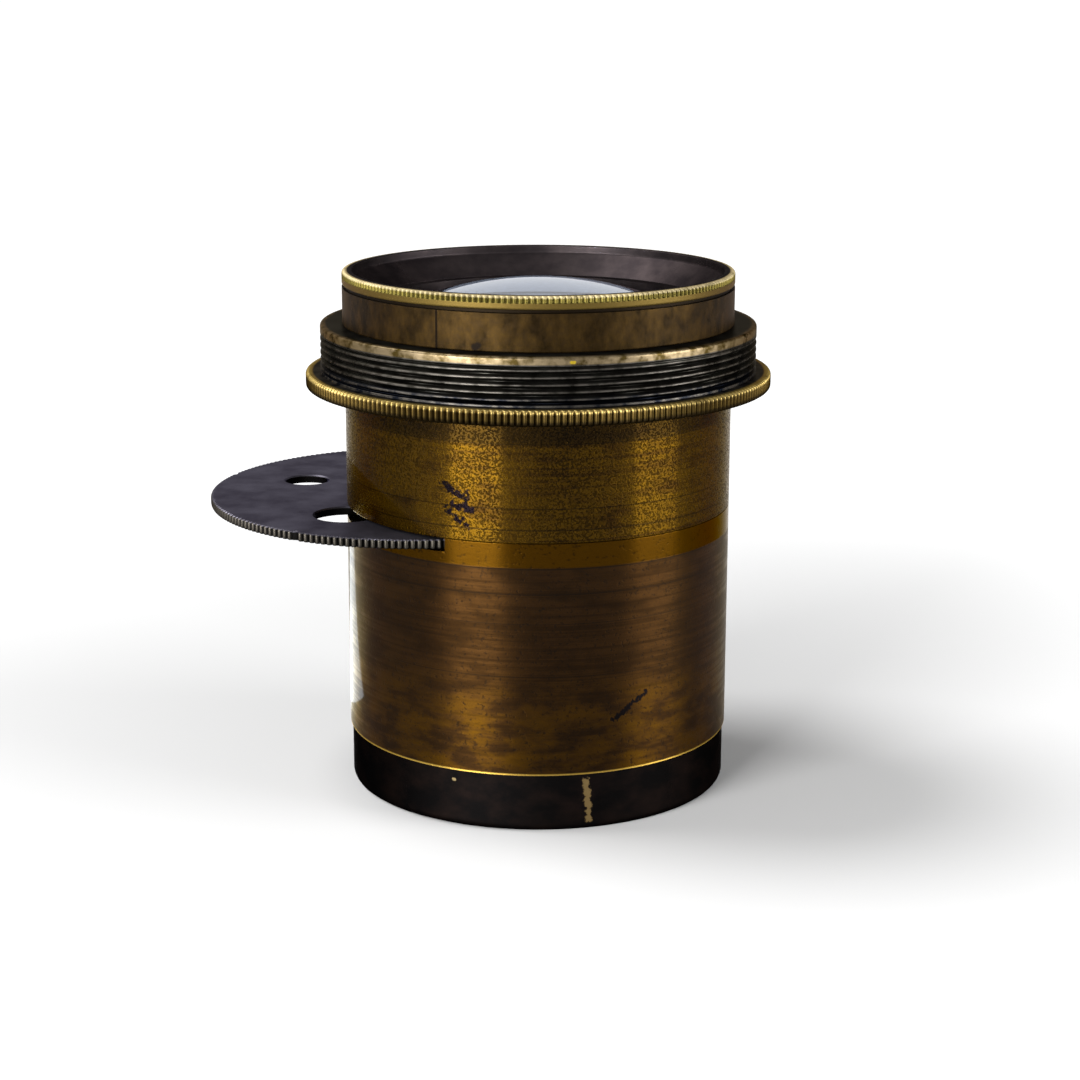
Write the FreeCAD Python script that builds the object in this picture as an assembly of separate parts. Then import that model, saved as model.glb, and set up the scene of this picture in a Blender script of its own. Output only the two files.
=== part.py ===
"""Rapid rectilinear lens with a rotating stop wheel, standing on its front end.

Millimetres, +Z along the optical axis towards the rear. The origin lies where the optical axis
crosses the flange seat, which is the upper face of the knurled collar.
"""

import FreeCAD, Part
import math
import os

# Barrel and mounting ring
BARREL_D = 45.2
BARREL_WALL = 2.2
FRONT_TUBE_LENGTH = 26.9
REAR_TUBE_LENGTH = 13.9
JOINT_SPIGOT_LENGTH = 3.0
JOINT_SPIGOT_WALL = 1.1
JOINT_EDGE = 0.15
RING_STEP = 0.6
RING_WALL = 3.4
THREAD_LENGTH = 4.4
LIP_LENGTH = 1.1
LIP_EDGE = 0.3
COLLAR_THICKNESS = 1.8
COLLAR_OVERHANG = 1.75
COLLAR_TEETH = 240
COLLAR_TOOTH_DEPTH = 0.3
COLLAR_EDGE = 0.3

# Cells
BAND_LENGTH = 6.7
BAND_SETBACK = 0.25
BAND_EDGE = 0.8
REAR_CELL_PROUD = 0.2
CELL_BODY_LENGTH = 4.6
RIM_LENGTH = 1.5
RIM_KNURL_LENGTH = 0.8
RIM_TEETH = 220
RIM_TOOTH_DEPTH = 0.25
RIM_GROOVE = 0.35
RIM_WALL = 1.2
MOUTH_LENGTH = 0.9
CELL_WALL = 1.45
SEAT_WIDTH = 1.5
SEAT_LENGTH = 2.0

# Cemented pairs, the same at both ends
GLASS_RECESS = 1.2
OUTER_RADIUS = 42.0
CEMENT_RADIUS = 32.0
INNER_RADIUS = 75.0
OUTER_GLASS_CENTRE = 1.5
INNER_GLASS_EDGE = 1.2
CEMENT_LAYER = 0.02
RETAINER_THICKNESS = 1.6
SPANNER_SLOT_WIDTH = 1.2
SPANNER_SLOT_DEPTH = 0.8

# Stop wheel
WHEEL_THICKNESS = 1.1
WHEEL_GAP = 0.2
WHEEL_RIM_LAND = 2.5
WHEEL_TEETH = 210
WHEEL_TOOTH_DEPTH = 0.3
PIVOT_TO_WALL = 5.3
PIVOT_BEARING = 160.5
LARGEST_APERTURE_D = 15.0
# Each stop passes half the light of the one before; bearings go from the largest to the smallest
STOP_RATIO = math.sqrt(0.5)
APERTURE_BEARINGS = (95.0, 0.0, 258.0, 179.0)
APERTURE_BEVEL = 0.5
APERTURE_LIP = 0.2
SLOT_CLEARANCE = 0.35
NOTCH_DEPTH = 0.5
NOTCH_WIDTH = 1.2

# Plate and pivot
PLATE_THICKNESS = 2.0
LEDGE_WIDTH = 3.2
LEDGE_HEIGHT = 2.0
OPENING_MARGIN = 0.75
PIVOT_SHOULDER_D = 4.0
PIVOT_STUD_D = 2.8
PIVOT_HEAD_D = 6.8
PIVOT_HEAD_HEIGHT = 1.0
BUSH_WALL = 1.6
WASHER_THICKNESS = 0.3
SCREW_HEAD_D = 2.2
SCREW_SHANK_D = 1.2
SCREW_SLOT_WIDTH = 0.4
SCREW_SLOT_DEPTH = 0.4
SCREW_SLOT_TURN = 40.0
PLATE_SCREWS = 3

# Click spring
LEAF_THICKNESS = 0.35
LEAF_HEIGHT = 1.2
LEAF_STANDOFF = 0.7
LEAF_LIFT = 0.15
LEAF_TAIL = 1.6
FOOT_LENGTH = 4.0
FOOT_WIDTH = 4.0
FOOT_TO_WALL = 1.45
NIB_WIDTH = 0.8
SPRING_HEAD_D = 2.6
SPRING_HEAD_HEIGHT = 0.7

# Clearances
SCREW_FIT = 0.05
RUNNING_FIT = 0.04
END_PLAY = 0.05

# Radii that follow from the sizes above
BARREL_R = BARREL_D / 2
BORE_R = BARREL_R - BARREL_WALL
SPIGOT_R = BORE_R + JOINT_SPIGOT_WALL
STEP_R = BARREL_R - RING_STEP
THREAD_R = STEP_R + RING_WALL
COLLAR_R = THREAD_R + COLLAR_OVERHANG
REAR_CELL_R = BARREL_R + REAR_CELL_PROUD
CELL_SPIGOT_R = BORE_R - SCREW_FIT
POCKET_R = CELL_SPIGOT_R - CELL_WALL
GLASS_R = POCKET_R - SCREW_FIT
CLEAR_R = GLASS_R - SEAT_WIDTH
PIVOT_OFFSET = BORE_R - PIVOT_TO_WALL
WHEEL_R = PIVOT_OFFSET + LARGEST_APERTURE_D / 2 + WHEEL_RIM_LAND
OPENING_R = LARGEST_APERTURE_D / 2 + OPENING_MARGIN
BUSH_R = PIVOT_SHOULDER_D / 2 + RUNNING_FIT + BUSH_WALL

# Heights, from the flange seat down to the front end and up to the rear end
JOINT_Z = -COLLAR_THICKNESS - REAR_TUBE_LENGTH
TUBE_FOOT_Z = JOINT_Z - FRONT_TUBE_LENGTH
FRONT_END_Z = TUBE_FOOT_Z - BAND_LENGTH
RING_TOP_Z = THREAD_LENGTH + LIP_LENGTH
RIM_Z = RING_TOP_Z + CELL_BODY_LENGTH
REAR_END_Z = RIM_Z + RIM_LENGTH
SLOT_HEIGHT = WHEEL_THICKNESS + 2 * WHEEL_GAP
PLATE_TOP_Z = JOINT_Z - SLOT_HEIGHT
PLATE_Z = PLATE_TOP_Z - PLATE_THICKNESS
LEDGE_Z = PLATE_Z - LEDGE_HEIGHT
WHEEL_Z = PLATE_TOP_Z + WHEEL_GAP
BUSH_Z = PLATE_TOP_Z + END_PLAY
BUSH_TOP_Z = PLATE_TOP_Z + SLOT_HEIGHT - END_PLAY

UP = FreeCAD.Vector(0, 0, 1)
AXIS_POINT = FreeCAD.Vector(0, 0, 0)


def sag(radius, height):
    """Depth of a sphere of this radius at this height from its axis."""
    return radius - math.sqrt(radius ** 2 - height ** 2)


# Depths inside a cell, from its open end to the glass and the seat
OUTER_EDGE_DEPTH = GLASS_RECESS + sag(OUTER_RADIUS, GLASS_R)
CEMENT_EDGE_DEPTH = GLASS_RECESS + OUTER_GLASS_CENTRE + sag(CEMENT_RADIUS, GLASS_R)
SEAT_DEPTH = CEMENT_EDGE_DEPTH + INNER_GLASS_EDGE
CELL_LENGTH = SEAT_DEPTH + SEAT_LENGTH
RETAINER_FOOT_DEPTH = GLASS_RECESS + sag(OUTER_RADIUS, CLEAR_R) - CEMENT_LAYER
RETAINER_TOP_DEPTH = RETAINER_FOOT_DEPTH - RETAINER_THICKNESS


def point(radius, z):
    """A point of a turned profile, in the XZ plane."""
    return FreeCAD.Vector(radius, 0, z)


def polar(radius, bearing, z=0.0):
    """A point at a radius and a bearing in degrees about the optical axis."""
    angle = math.radians(bearing)
    return FreeCAD.Vector(radius * math.cos(angle), radius * math.sin(angle), z)


def turned(corners):
    """A solid turned about the optical axis from a closed profile of (radius, z) corners."""
    points = [point(*corner) for corner in corners]
    face = Part.Face(Part.makePolygon(points + points[:1]))
    return face.revolve(AXIS_POINT, UP, 360)


def disc(radius, z, height, centre=AXIS_POINT):
    """A plain upright cylinder about the axis, or about another centre."""
    return Part.makeCylinder(radius, height, FreeCAD.Vector(centre.x, centre.y, z), UP)


def toothed_disc(radius, depth, teeth, z, height):
    """A prism with straight V teeth all round, its crests at the radius."""
    corners = []
    for index in range(teeth):
        corners.append(polar(radius, 360.0 * index / teeth, z))
        corners.append(polar(radius - depth, 360.0 * (index + 0.5) / teeth, z))
    face = Part.Face(Part.makePolygon(corners + corners[:1]))
    return face.extrude(UP * height)


def wheel_centre():
    """The wheel's own axis, beside the optical axis."""
    return polar(PIVOT_OFFSET, PIVOT_BEARING)


def working_bearing():
    """Bearing from the wheel's axis to the optical axis, where the aperture in use lies."""
    return PIVOT_BEARING + 180.0


def slot_cutter():
    """What a disc cutter on the wheel's own axis takes out of the top of the front tube."""
    return disc(WHEEL_R + SLOT_CLEARANCE, PLATE_TOP_Z, SLOT_HEIGHT, wheel_centre())


def front_tube():
    """Lower barrel tube with the ledge for the plate, the slot and the spigot at its top."""
    tube = turned([
        (BORE_R, TUBE_FOOT_Z),
        (BARREL_R - JOINT_EDGE, TUBE_FOOT_Z),
        (BARREL_R, TUBE_FOOT_Z + JOINT_EDGE),
        (BARREL_R, JOINT_Z),
        (SPIGOT_R, JOINT_Z),
        (SPIGOT_R, JOINT_Z + JOINT_SPIGOT_LENGTH),
        (BORE_R, JOINT_Z + JOINT_SPIGOT_LENGTH),
        (BORE_R, PLATE_Z),
        (BORE_R - LEDGE_WIDTH, PLATE_Z),
        (BORE_R - LEDGE_WIDTH, LEDGE_Z),
        (BORE_R, LEDGE_Z),
    ])
    tube = tube.cut(slot_cutter())
    holes = [disc(SCREW_SHANK_D / 2, LEDGE_Z, LEDGE_HEIGHT, place) for place in plate_screw_places()]
    return tube.cut(holes)


def rear_tube():
    """Upper barrel tube: it closes the slot, and its reduced end carries the mounting ring."""
    mouth_r = SPIGOT_R + SCREW_FIT
    mouth_z = JOINT_Z + JOINT_SPIGOT_LENGTH + SCREW_FIT
    return turned([
        (mouth_r, JOINT_Z),
        (BARREL_R - JOINT_EDGE, JOINT_Z),
        (BARREL_R, JOINT_Z + JOINT_EDGE),
        (BARREL_R, -COLLAR_THICKNESS),
        (STEP_R, -COLLAR_THICKNESS),
        (STEP_R, RING_TOP_Z),
        (BORE_R, RING_TOP_Z),
        (BORE_R, mouth_z),
        (mouth_r, mouth_z),
    ])


def mount_ring():
    """Ring with the knurled collar below the flange seat and the threaded length above it."""
    bore_r = STEP_R + SCREW_FIT
    edge_r = COLLAR_R - COLLAR_TOOTH_DEPTH - COLLAR_EDGE
    collar = toothed_disc(
        COLLAR_R, COLLAR_TOOTH_DEPTH, COLLAR_TEETH,
        -COLLAR_THICKNESS + COLLAR_EDGE, COLLAR_THICKNESS - 2 * COLLAR_EDGE,
    )
    core = turned([
        (0, -COLLAR_THICKNESS),
        (edge_r, -COLLAR_THICKNESS),
        (edge_r + COLLAR_EDGE, -COLLAR_THICKNESS + COLLAR_EDGE),
        (edge_r + COLLAR_EDGE, -COLLAR_EDGE),
        (edge_r, 0),
        (THREAD_R, 0),
        (THREAD_R, RING_TOP_Z - LIP_EDGE),
        (THREAD_R - LIP_EDGE, RING_TOP_Z),
        (0, RING_TOP_Z),
    ])
    bore = disc(bore_r, -COLLAR_THICKNESS, COLLAR_THICKNESS + RING_TOP_Z)
    return core.fuse(collar).cut(bore)


def cell_bore_profile(end_r):
    """Inside of a cell as (radius, depth) corners, from its open end to its inner end."""
    return [
        (end_r - RIM_WALL, 0),
        (end_r - RIM_WALL, MOUTH_LENGTH),
        (POCKET_R, RETAINER_TOP_DEPTH),
        (POCKET_R, SEAT_DEPTH),
        (CLEAR_R, SEAT_DEPTH),
        (CLEAR_R, CELL_LENGTH),
    ]


def rear_cell():
    """Rear cell: knurled rim, groove and plain body above the ring, spigot inside the tube."""
    knurl_z = REAR_END_Z - RIM_KNURL_LENGTH
    foot_z = REAR_END_Z - CELL_LENGTH
    bore = [(radius, REAR_END_Z - depth) for radius, depth in cell_bore_profile(REAR_CELL_R)]
    body = turned(bore + [
        (CELL_SPIGOT_R, foot_z),
        (CELL_SPIGOT_R, RING_TOP_Z),
        (REAR_CELL_R, RING_TOP_Z),
        (REAR_CELL_R, RIM_Z - RIM_GROOVE),
        (REAR_CELL_R - RIM_GROOVE, RIM_Z - RIM_GROOVE),
        (REAR_CELL_R - RIM_GROOVE, RIM_Z),
        (REAR_CELL_R, knurl_z),
        (REAR_CELL_R - RIM_TOOTH_DEPTH, knurl_z),
        (REAR_CELL_R - RIM_TOOTH_DEPTH, REAR_END_Z),
    ])
    teeth = toothed_disc(REAR_CELL_R, RIM_TOOTH_DEPTH, RIM_TEETH, knurl_z, RIM_KNURL_LENGTH)
    hollow = disc(REAR_CELL_R - RIM_WALL, knurl_z, RIM_KNURL_LENGTH)
    return body.fuse(teeth.cut(hollow))


def front_cell():
    """Front cell: its plain outside is the black band that a push-on cap grips."""
    band_r = BARREL_R - BAND_SETBACK
    foot_z = FRONT_END_Z + CELL_LENGTH
    rounding = BAND_EDGE * (1 - math.sqrt(0.5))
    bore = [(radius, FRONT_END_Z + depth) for radius, depth in cell_bore_profile(band_r)]
    corners = [point(*corner) for corner in bore + [
        (CELL_SPIGOT_R, foot_z),
        (CELL_SPIGOT_R, TUBE_FOOT_Z),
        (band_r, TUBE_FOOT_Z),
        (band_r, FRONT_END_Z + BAND_EDGE),
    ]]
    arc = Part.Arc(
        corners[-1],
        point(band_r - rounding, FRONT_END_Z + rounding),
        point(band_r - BAND_EDGE, FRONT_END_Z),
    )
    closing = Part.makeLine(point(band_r - BAND_EDGE, FRONT_END_Z), corners[0])
    outline = Part.Wire(Part.makePolygon(corners).Edges + [arc.toShape(), closing])
    return Part.Face(outline).revolve(AXIS_POINT, UP, 360)


def spherical_edge(radius, vertex_depth, first_r, last_r):
    """Arc of a lens surface between two heights from the axis, bulging to the open end."""
    heights = (first_r, (first_r + last_r) / 2, last_r)
    return Part.Arc(*[point(height, vertex_depth + sag(radius, height)) for height in heights]).toShape()


def glass(outer_radius, outer_depth, inner_radius, inner_depth):
    """One lens element about the axis, in depth from the cell's open end."""
    outer_edge = outer_depth + sag(outer_radius, GLASS_R)
    inner_edge = inner_depth + sag(inner_radius, GLASS_R)
    outline = Part.Wire([
        spherical_edge(outer_radius, outer_depth, 0, GLASS_R),
        Part.makeLine(point(GLASS_R, outer_edge), point(GLASS_R, inner_edge)),
        spherical_edge(inner_radius, inner_depth, GLASS_R, 0),
        Part.makeLine(point(0, inner_depth), point(0, outer_depth)),
    ])
    return Part.Face(outline).revolve(AXIS_POINT, UP, 360)


def outer_glass():
    """Negative meniscus on the outside of a cemented pair, in depth from the open end."""
    cement_depth = GLASS_RECESS + OUTER_GLASS_CENTRE
    return glass(OUTER_RADIUS, GLASS_RECESS, CEMENT_RADIUS, cement_depth)


def inner_glass():
    """Positive meniscus on the stop side of a cemented pair, in depth from the open end."""
    cement_depth = GLASS_RECESS + OUTER_GLASS_CENTRE + CEMENT_LAYER
    vertex_depth = SEAT_DEPTH - sag(INNER_RADIUS, GLASS_R)
    return glass(CEMENT_RADIUS, cement_depth, INNER_RADIUS, vertex_depth)


def retainer():
    """Threaded ring over the edge of the outer glass, with two spanner slots."""
    outer_r = POCKET_R - SCREW_FIT
    height = RETAINER_FOOT_DEPTH - RETAINER_TOP_DEPTH
    ring = disc(outer_r, RETAINER_TOP_DEPTH, height).cut(disc(CLEAR_R, RETAINER_TOP_DEPTH, height))
    corner = FreeCAD.Vector(-outer_r, -SPANNER_SLOT_WIDTH / 2, RETAINER_TOP_DEPTH)
    slot = Part.makeBox(2 * outer_r, SPANNER_SLOT_WIDTH, SPANNER_SLOT_DEPTH, corner)
    return ring.cut(slot)


def at_front(shape):
    """Puts a piece drawn in depth from the open end into the front cell."""
    return shape.translated(FreeCAD.Vector(0, 0, FRONT_END_Z))


def at_rear(shape):
    """Turns a piece drawn in depth from the open end over, into the rear cell."""
    turned_over = shape.rotated(AXIS_POINT, FreeCAD.Vector(1, 0, 0), 180)
    return turned_over.translated(FreeCAD.Vector(0, 0, REAR_END_Z))


def plate_screw_places():
    """Centres of the plate screws, evenly spaced over the ledge."""
    radius = BORE_R - LEDGE_WIDTH / 2
    step = 360.0 / PLATE_SCREWS
    return [polar(radius, working_bearing() + index * step) for index in range(PLATE_SCREWS)]


def countersink(place, grow):
    """The cone of a flush screw head, sunk from the top face of the plate."""
    head_r = SCREW_HEAD_D / 2 + grow
    shank_r = SCREW_SHANK_D / 2
    depth = head_r - shank_r
    foot = FreeCAD.Vector(place.x, place.y, PLATE_TOP_Z - depth)
    return Part.makeCone(shank_r, head_r, depth, foot, UP)


def spring_screw_place():
    """Centre of the screw through the foot of the click spring."""
    distance = leaf_distance() + LEAF_THICKNESS + FOOT_WIDTH / 2
    return on_wheel_line(distance, FOOT_LENGTH / 2 - foot_end(), 0)


def stop_plate():
    """Plate across the barrel that the wheel turns on, with the light opening."""
    plate = disc(BORE_R - SCREW_FIT, PLATE_Z, PLATE_THICKNESS)
    cuts = [disc(OPENING_R, PLATE_Z, PLATE_THICKNESS)]
    cuts.append(disc(PIVOT_STUD_D / 2, PLATE_Z, PLATE_THICKNESS, wheel_centre()))
    cuts.append(disc(SCREW_SHANK_D / 2, PLATE_Z, PLATE_THICKNESS, spring_screw_place()))
    for place in plate_screw_places():
        cuts.append(disc(SCREW_SHANK_D / 2, PLATE_Z, PLATE_THICKNESS, place))
        cuts.append(countersink(place, SCREW_FIT))
    return plate.cut(cuts)


def driver_slot(place, head_r, top_z, bearing):
    """Cutter for a screwdriver slot across a head."""
    corner = FreeCAD.Vector(-head_r, -SCREW_SLOT_WIDTH / 2, top_z - SCREW_SLOT_DEPTH)
    cutter = Part.makeBox(2 * head_r, SCREW_SLOT_WIDTH, SCREW_SLOT_DEPTH, corner)
    cutter.rotate(AXIS_POINT, UP, bearing)
    return cutter.translated(FreeCAD.Vector(place.x, place.y, 0))


def stop_plate_screws():
    """Countersunk screws through the plate into the ledge, each by its name."""
    length = PLATE_THICKNESS + LEDGE_HEIGHT
    screws = {}
    for index, place in enumerate(plate_screw_places()):
        shank = disc(SCREW_SHANK_D / 2, LEDGE_Z, length, place)
        slot = driver_slot(place, SCREW_HEAD_D, PLATE_TOP_Z, SCREW_SLOT_TURN * index)
        screws["stop_plate_screw_" + str(index + 1)] = shank.fuse(countersink(place, 0)).cut(slot)
    return screws


def on_wheel_line(distance, side, z):
    """A point at a distance from the wheel's axis towards the optical axis, and off to a side."""
    angle = math.radians(working_bearing())
    along = FreeCAD.Vector(math.cos(angle), math.sin(angle), 0)
    across = FreeCAD.Vector(-math.sin(angle), math.cos(angle), 0)
    return wheel_centre() + along * distance + across * side + UP * z


def aperture(diameter, bearing):
    """Cutter for one aperture: a thin edge just below the upper face, bevelled open both ways."""
    radius = diameter / 2
    depth = WHEEL_THICKNESS - APERTURE_LIP
    lower = Part.makeCone(radius + APERTURE_BEVEL, radius, depth, FreeCAD.Vector(0, 0, WHEEL_Z), UP)
    edge = FreeCAD.Vector(0, 0, WHEEL_Z + depth)
    upper = Part.makeCone(radius, radius + APERTURE_LIP, APERTURE_LIP, edge, UP)
    place = polar(PIVOT_OFFSET, working_bearing() + bearing)
    return lower.fuse(upper).translated(wheel_centre() + place)


def click_notch(bearing):
    """Cutter for the notch in the rim that belongs to one aperture."""
    reach = WHEEL_TOOTH_DEPTH
    half = NOTCH_WIDTH / 2 * (NOTCH_DEPTH + reach) / NOTCH_DEPTH
    corners = [
        FreeCAD.Vector(WHEEL_R - NOTCH_DEPTH, 0, WHEEL_Z),
        FreeCAD.Vector(WHEEL_R + reach, -half, WHEEL_Z),
        FreeCAD.Vector(WHEEL_R + reach, half, WHEEL_Z),
    ]
    cutter = Part.Face(Part.makePolygon(corners + corners[:1])).extrude(UP * WHEEL_THICKNESS)
    cutter.rotate(AXIS_POINT, UP, working_bearing() + bearing)
    return cutter.translated(wheel_centre())


def stop_wheel():
    """Serrated wheel with graded apertures, a click notch for each, and the bush hole."""
    wheel = toothed_disc(WHEEL_R, WHEEL_TOOTH_DEPTH, WHEEL_TEETH, WHEEL_Z, WHEEL_THICKNESS)
    wheel = wheel.cut(disc(BUSH_R, WHEEL_Z, WHEEL_THICKNESS)).translated(wheel_centre())
    for index, bearing in enumerate(APERTURE_BEARINGS):
        diameter = LARGEST_APERTURE_D * STOP_RATIO ** index
        wheel = wheel.cut([aperture(diameter, bearing), click_notch(bearing)])
    return wheel


def wheel_bush():
    """Bush riveted in the wheel, a little proud of it on both sides."""
    height = BUSH_TOP_Z - BUSH_Z
    bore_r = PIVOT_SHOULDER_D / 2 + RUNNING_FIT
    return disc(BUSH_R, BUSH_Z, height, wheel_centre()).cut(disc(bore_r, BUSH_Z, height, wheel_centre()))


def pivot_washer():
    """Washer between the bush and the head of the pivot."""
    z = BUSH_TOP_Z + END_PLAY
    ring = disc(BUSH_R, z, WASHER_THICKNESS, wheel_centre())
    return ring.cut(disc(PIVOT_SHOULDER_D / 2 + RUNNING_FIT, z, WASHER_THICKNESS, wheel_centre()))


def wheel_pivot():
    """Shouldered screw: stud in the plate, shoulder through the bush, slotted head on the washer."""
    centre = wheel_centre()
    head_z = BUSH_TOP_Z + END_PLAY + WASHER_THICKNESS
    stud = disc(PIVOT_STUD_D / 2, PLATE_Z, PLATE_THICKNESS, centre)
    shoulder = disc(PIVOT_SHOULDER_D / 2, PLATE_TOP_Z, head_z - PLATE_TOP_Z, centre)
    head = disc(PIVOT_HEAD_D / 2, head_z, PIVOT_HEAD_HEIGHT, centre)
    slot = driver_slot(centre, PIVOT_HEAD_D, head_z + PIVOT_HEAD_HEIGHT, PIVOT_BEARING)
    return stud.fuse([shoulder, head]).cut(slot)


def leaf_distance():
    """Distance from the wheel's axis to the near face of the spring's leaf."""
    return WHEEL_R + LEAF_STANDOFF


def foot_end():
    """How far to the side the foot of the spring ends, its corner kept clear of the barrel wall."""
    corner_reach = BORE_R - FOOT_TO_WALL
    corner_distance = leaf_distance() + LEAF_THICKNESS + FOOT_WIDTH - PIVOT_OFFSET
    return math.sqrt(corner_reach ** 2 - corner_distance ** 2)


def prism(corners, height):
    """An upright prism on a flat outline of points."""
    return Part.Face(Part.makePolygon(corners + corners[:1])).extrude(UP * height)


def click_spring():
    """Leaf on edge beside the wheel, with a nib in the notch and a foot flat on the plate."""
    near = leaf_distance()
    far = near + LEAF_THICKNESS
    end = -foot_end()
    anchor = end + FOOT_LENGTH
    leaf_z = PLATE_TOP_Z + LEAF_LIFT
    free = prism([
        on_wheel_line(near, anchor, leaf_z),
        on_wheel_line(far, anchor, leaf_z),
        on_wheel_line(far, LEAF_TAIL, leaf_z),
        on_wheel_line(near, LEAF_TAIL, leaf_z),
    ], LEAF_HEIGHT - LEAF_LIFT)
    held = prism([
        on_wheel_line(near, end, PLATE_TOP_Z),
        on_wheel_line(far, end, PLATE_TOP_Z),
        on_wheel_line(far, anchor, PLATE_TOP_Z),
        on_wheel_line(near, anchor, PLATE_TOP_Z),
    ], LEAF_HEIGHT)
    foot = prism([
        on_wheel_line(near, end, PLATE_TOP_Z),
        on_wheel_line(far + FOOT_WIDTH, end, PLATE_TOP_Z),
        on_wheel_line(far + FOOT_WIDTH, anchor, PLATE_TOP_Z),
        on_wheel_line(near, anchor, PLATE_TOP_Z),
    ], LEAF_THICKNESS)
    tip = WHEEL_R - NOTCH_DEPTH * (NOTCH_WIDTH - NIB_WIDTH) / NOTCH_WIDTH - END_PLAY
    nib = prism([
        on_wheel_line(tip, 0, leaf_z),
        on_wheel_line(near, NIB_WIDTH / 2, leaf_z),
        on_wheel_line(near, -NIB_WIDTH / 2, leaf_z),
    ], LEAF_HEIGHT - LEAF_LIFT)
    hole = disc(SCREW_SHANK_D / 2, PLATE_TOP_Z, LEAF_THICKNESS, spring_screw_place())
    return free.fuse([held, foot, nib]).cut(hole).removeSplitter()


def click_spring_screw():
    """Screw through the foot of the click spring into the plate."""
    place = spring_screw_place()
    head_z = PLATE_TOP_Z + LEAF_THICKNESS
    shank = disc(SCREW_SHANK_D / 2, PLATE_Z, PLATE_THICKNESS + LEAF_THICKNESS, place)
    head = disc(SPRING_HEAD_D / 2, head_z, SPRING_HEAD_HEIGHT, place)
    return shank.fuse(head).cut(driver_slot(place, SPRING_HEAD_D, head_z + SPRING_HEAD_HEIGHT, PIVOT_BEARING))


def pieces():
    """Every piece of the lens by its name."""
    return {
        "front_tube": front_tube(),
        "rear_tube": rear_tube(),
        "mount_ring": mount_ring(),
        "front_cell": front_cell(),
        "front_outer_glass": at_front(outer_glass()),
        "front_inner_glass": at_front(inner_glass()),
        "front_retainer": at_front(retainer()),
        "rear_cell": rear_cell(),
        "rear_outer_glass": at_rear(outer_glass()),
        "rear_inner_glass": at_rear(inner_glass()),
        "rear_retainer": at_rear(retainer()),
        "stop_plate": stop_plate(),
        **stop_plate_screws(),
        "stop_wheel": stop_wheel(),
        "wheel_bush": wheel_bush(),
        "wheel_pivot": wheel_pivot(),
        "pivot_washer": pivot_washer(),
        "click_spring": click_spring(),
        "click_spring_screw": click_spring_screw(),
    }


def main():
    """Builds every piece and writes one STEP file for each."""
    os.makedirs("parts", exist_ok=True)
    for name, shape in pieces().items():
        shape.exportStep(os.path.join("parts", name + ".step"))
        print(name, "solids", len(shape.Solids), "volume", round(shape.Volume, 2), "valid", shape.isValid())


if __name__ == "__main__":
    main()
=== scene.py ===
"""Looks of a rapid rectilinear lens with rotating stops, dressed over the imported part.

Sizes are millimetres in the part's own frame, but metres for lamps, floor and camera. Z is the
optical axis, zero is the flange seat, and -Y is the side that the camera sees. A bearing is
measured in degrees from -Y towards +X, so it is 0 at the middle of the view and 90 at its right.
"""

import logging
import math
from dataclasses import dataclass
from enum import Enum

import bmesh
import bpy
import numpy as np
from mathutils import Matrix, Vector
from mathutils.geometry import delaunay_2d_cdt


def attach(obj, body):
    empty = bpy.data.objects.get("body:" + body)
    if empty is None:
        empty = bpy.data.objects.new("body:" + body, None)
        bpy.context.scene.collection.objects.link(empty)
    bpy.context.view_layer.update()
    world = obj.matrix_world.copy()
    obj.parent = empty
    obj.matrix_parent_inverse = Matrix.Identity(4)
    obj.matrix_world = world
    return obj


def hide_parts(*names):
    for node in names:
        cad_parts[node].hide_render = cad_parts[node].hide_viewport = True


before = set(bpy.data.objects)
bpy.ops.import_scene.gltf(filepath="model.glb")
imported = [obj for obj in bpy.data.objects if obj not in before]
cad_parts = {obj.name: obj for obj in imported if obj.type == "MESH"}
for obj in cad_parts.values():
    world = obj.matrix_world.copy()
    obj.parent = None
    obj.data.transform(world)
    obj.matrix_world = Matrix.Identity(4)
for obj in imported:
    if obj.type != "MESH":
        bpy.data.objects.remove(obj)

MM = 0.001
LOG = logging.getLogger("lens")
LENS_BODY = "lens"
WHEEL_BODY = "wheel"

# Sizes that the part's solids share, in mm, with the wheel's bearing in degrees
BARREL_R = 22.6
BORE_R = 20.4
SPIGOT_R = 21.5
STEP_R = 22.0
JOINT_Z = -15.7
SPIGOT_TOP_Z = -12.7
COLLAR_FOOT_Z = -1.8
RING_TOP_Z = 5.5
REAR_END_Z = 11.6
FRONT_END_Z = -49.3
TUBE_FOOT_Z = -42.6
PLATE_TOP_Z = -17.2
PLATE_Z = -19.2
LEDGE_Z = -21.2
LEDGE_R = 17.2
GLASS_R = 18.85
POCKET_R = 18.9
CLEAR_R = 17.35
CELL_SPIGOT_R = 20.35
SEAT_DEPTH = 10.042
CELL_LENGTH = 12.042
RETAINER_TOP_DEPTH = 3.331
MOUTH_LENGTH = 0.9
MOUTH_WALL = 1.2
WHEEL_BEARING = -109.5
WHEEL_OFFSET = 15.1
WHEEL_R = 25.1
SLOT_CLEARANCE = 0.35

# Columns of points on each tooth of a knurl
COLUMNS_PER_TOOTH = 8
# Points nearer than this are one: in metres in a mesh, in mm on the wheel's flats
MERGE = 1e-7
# Turns the gloss's long axis to stand upright, across the tool's lines
QUARTER_TURN = 0.25
# Thin old lacquer throws back less than a fresh coat would
LACQUER_IOR = 1.3
# Height in metres of the point that the lamps face
LAMP_AIM_Z = -0.02
# Depths in mm of the pits and of the tool's lines in turned brass
PIT_DEPTH = 0.008
LINE_DEPTH = 0.005
# Shares of their widths within which a ring and a stroke show in full
RING_CORE = 0.3
STROKE_CORE = 0.6


class Seat(Enum):
    """The places of a skin's faces in its piece's list of materials."""

    OUTSIDE = 0
    INSIDE = 1


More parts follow.
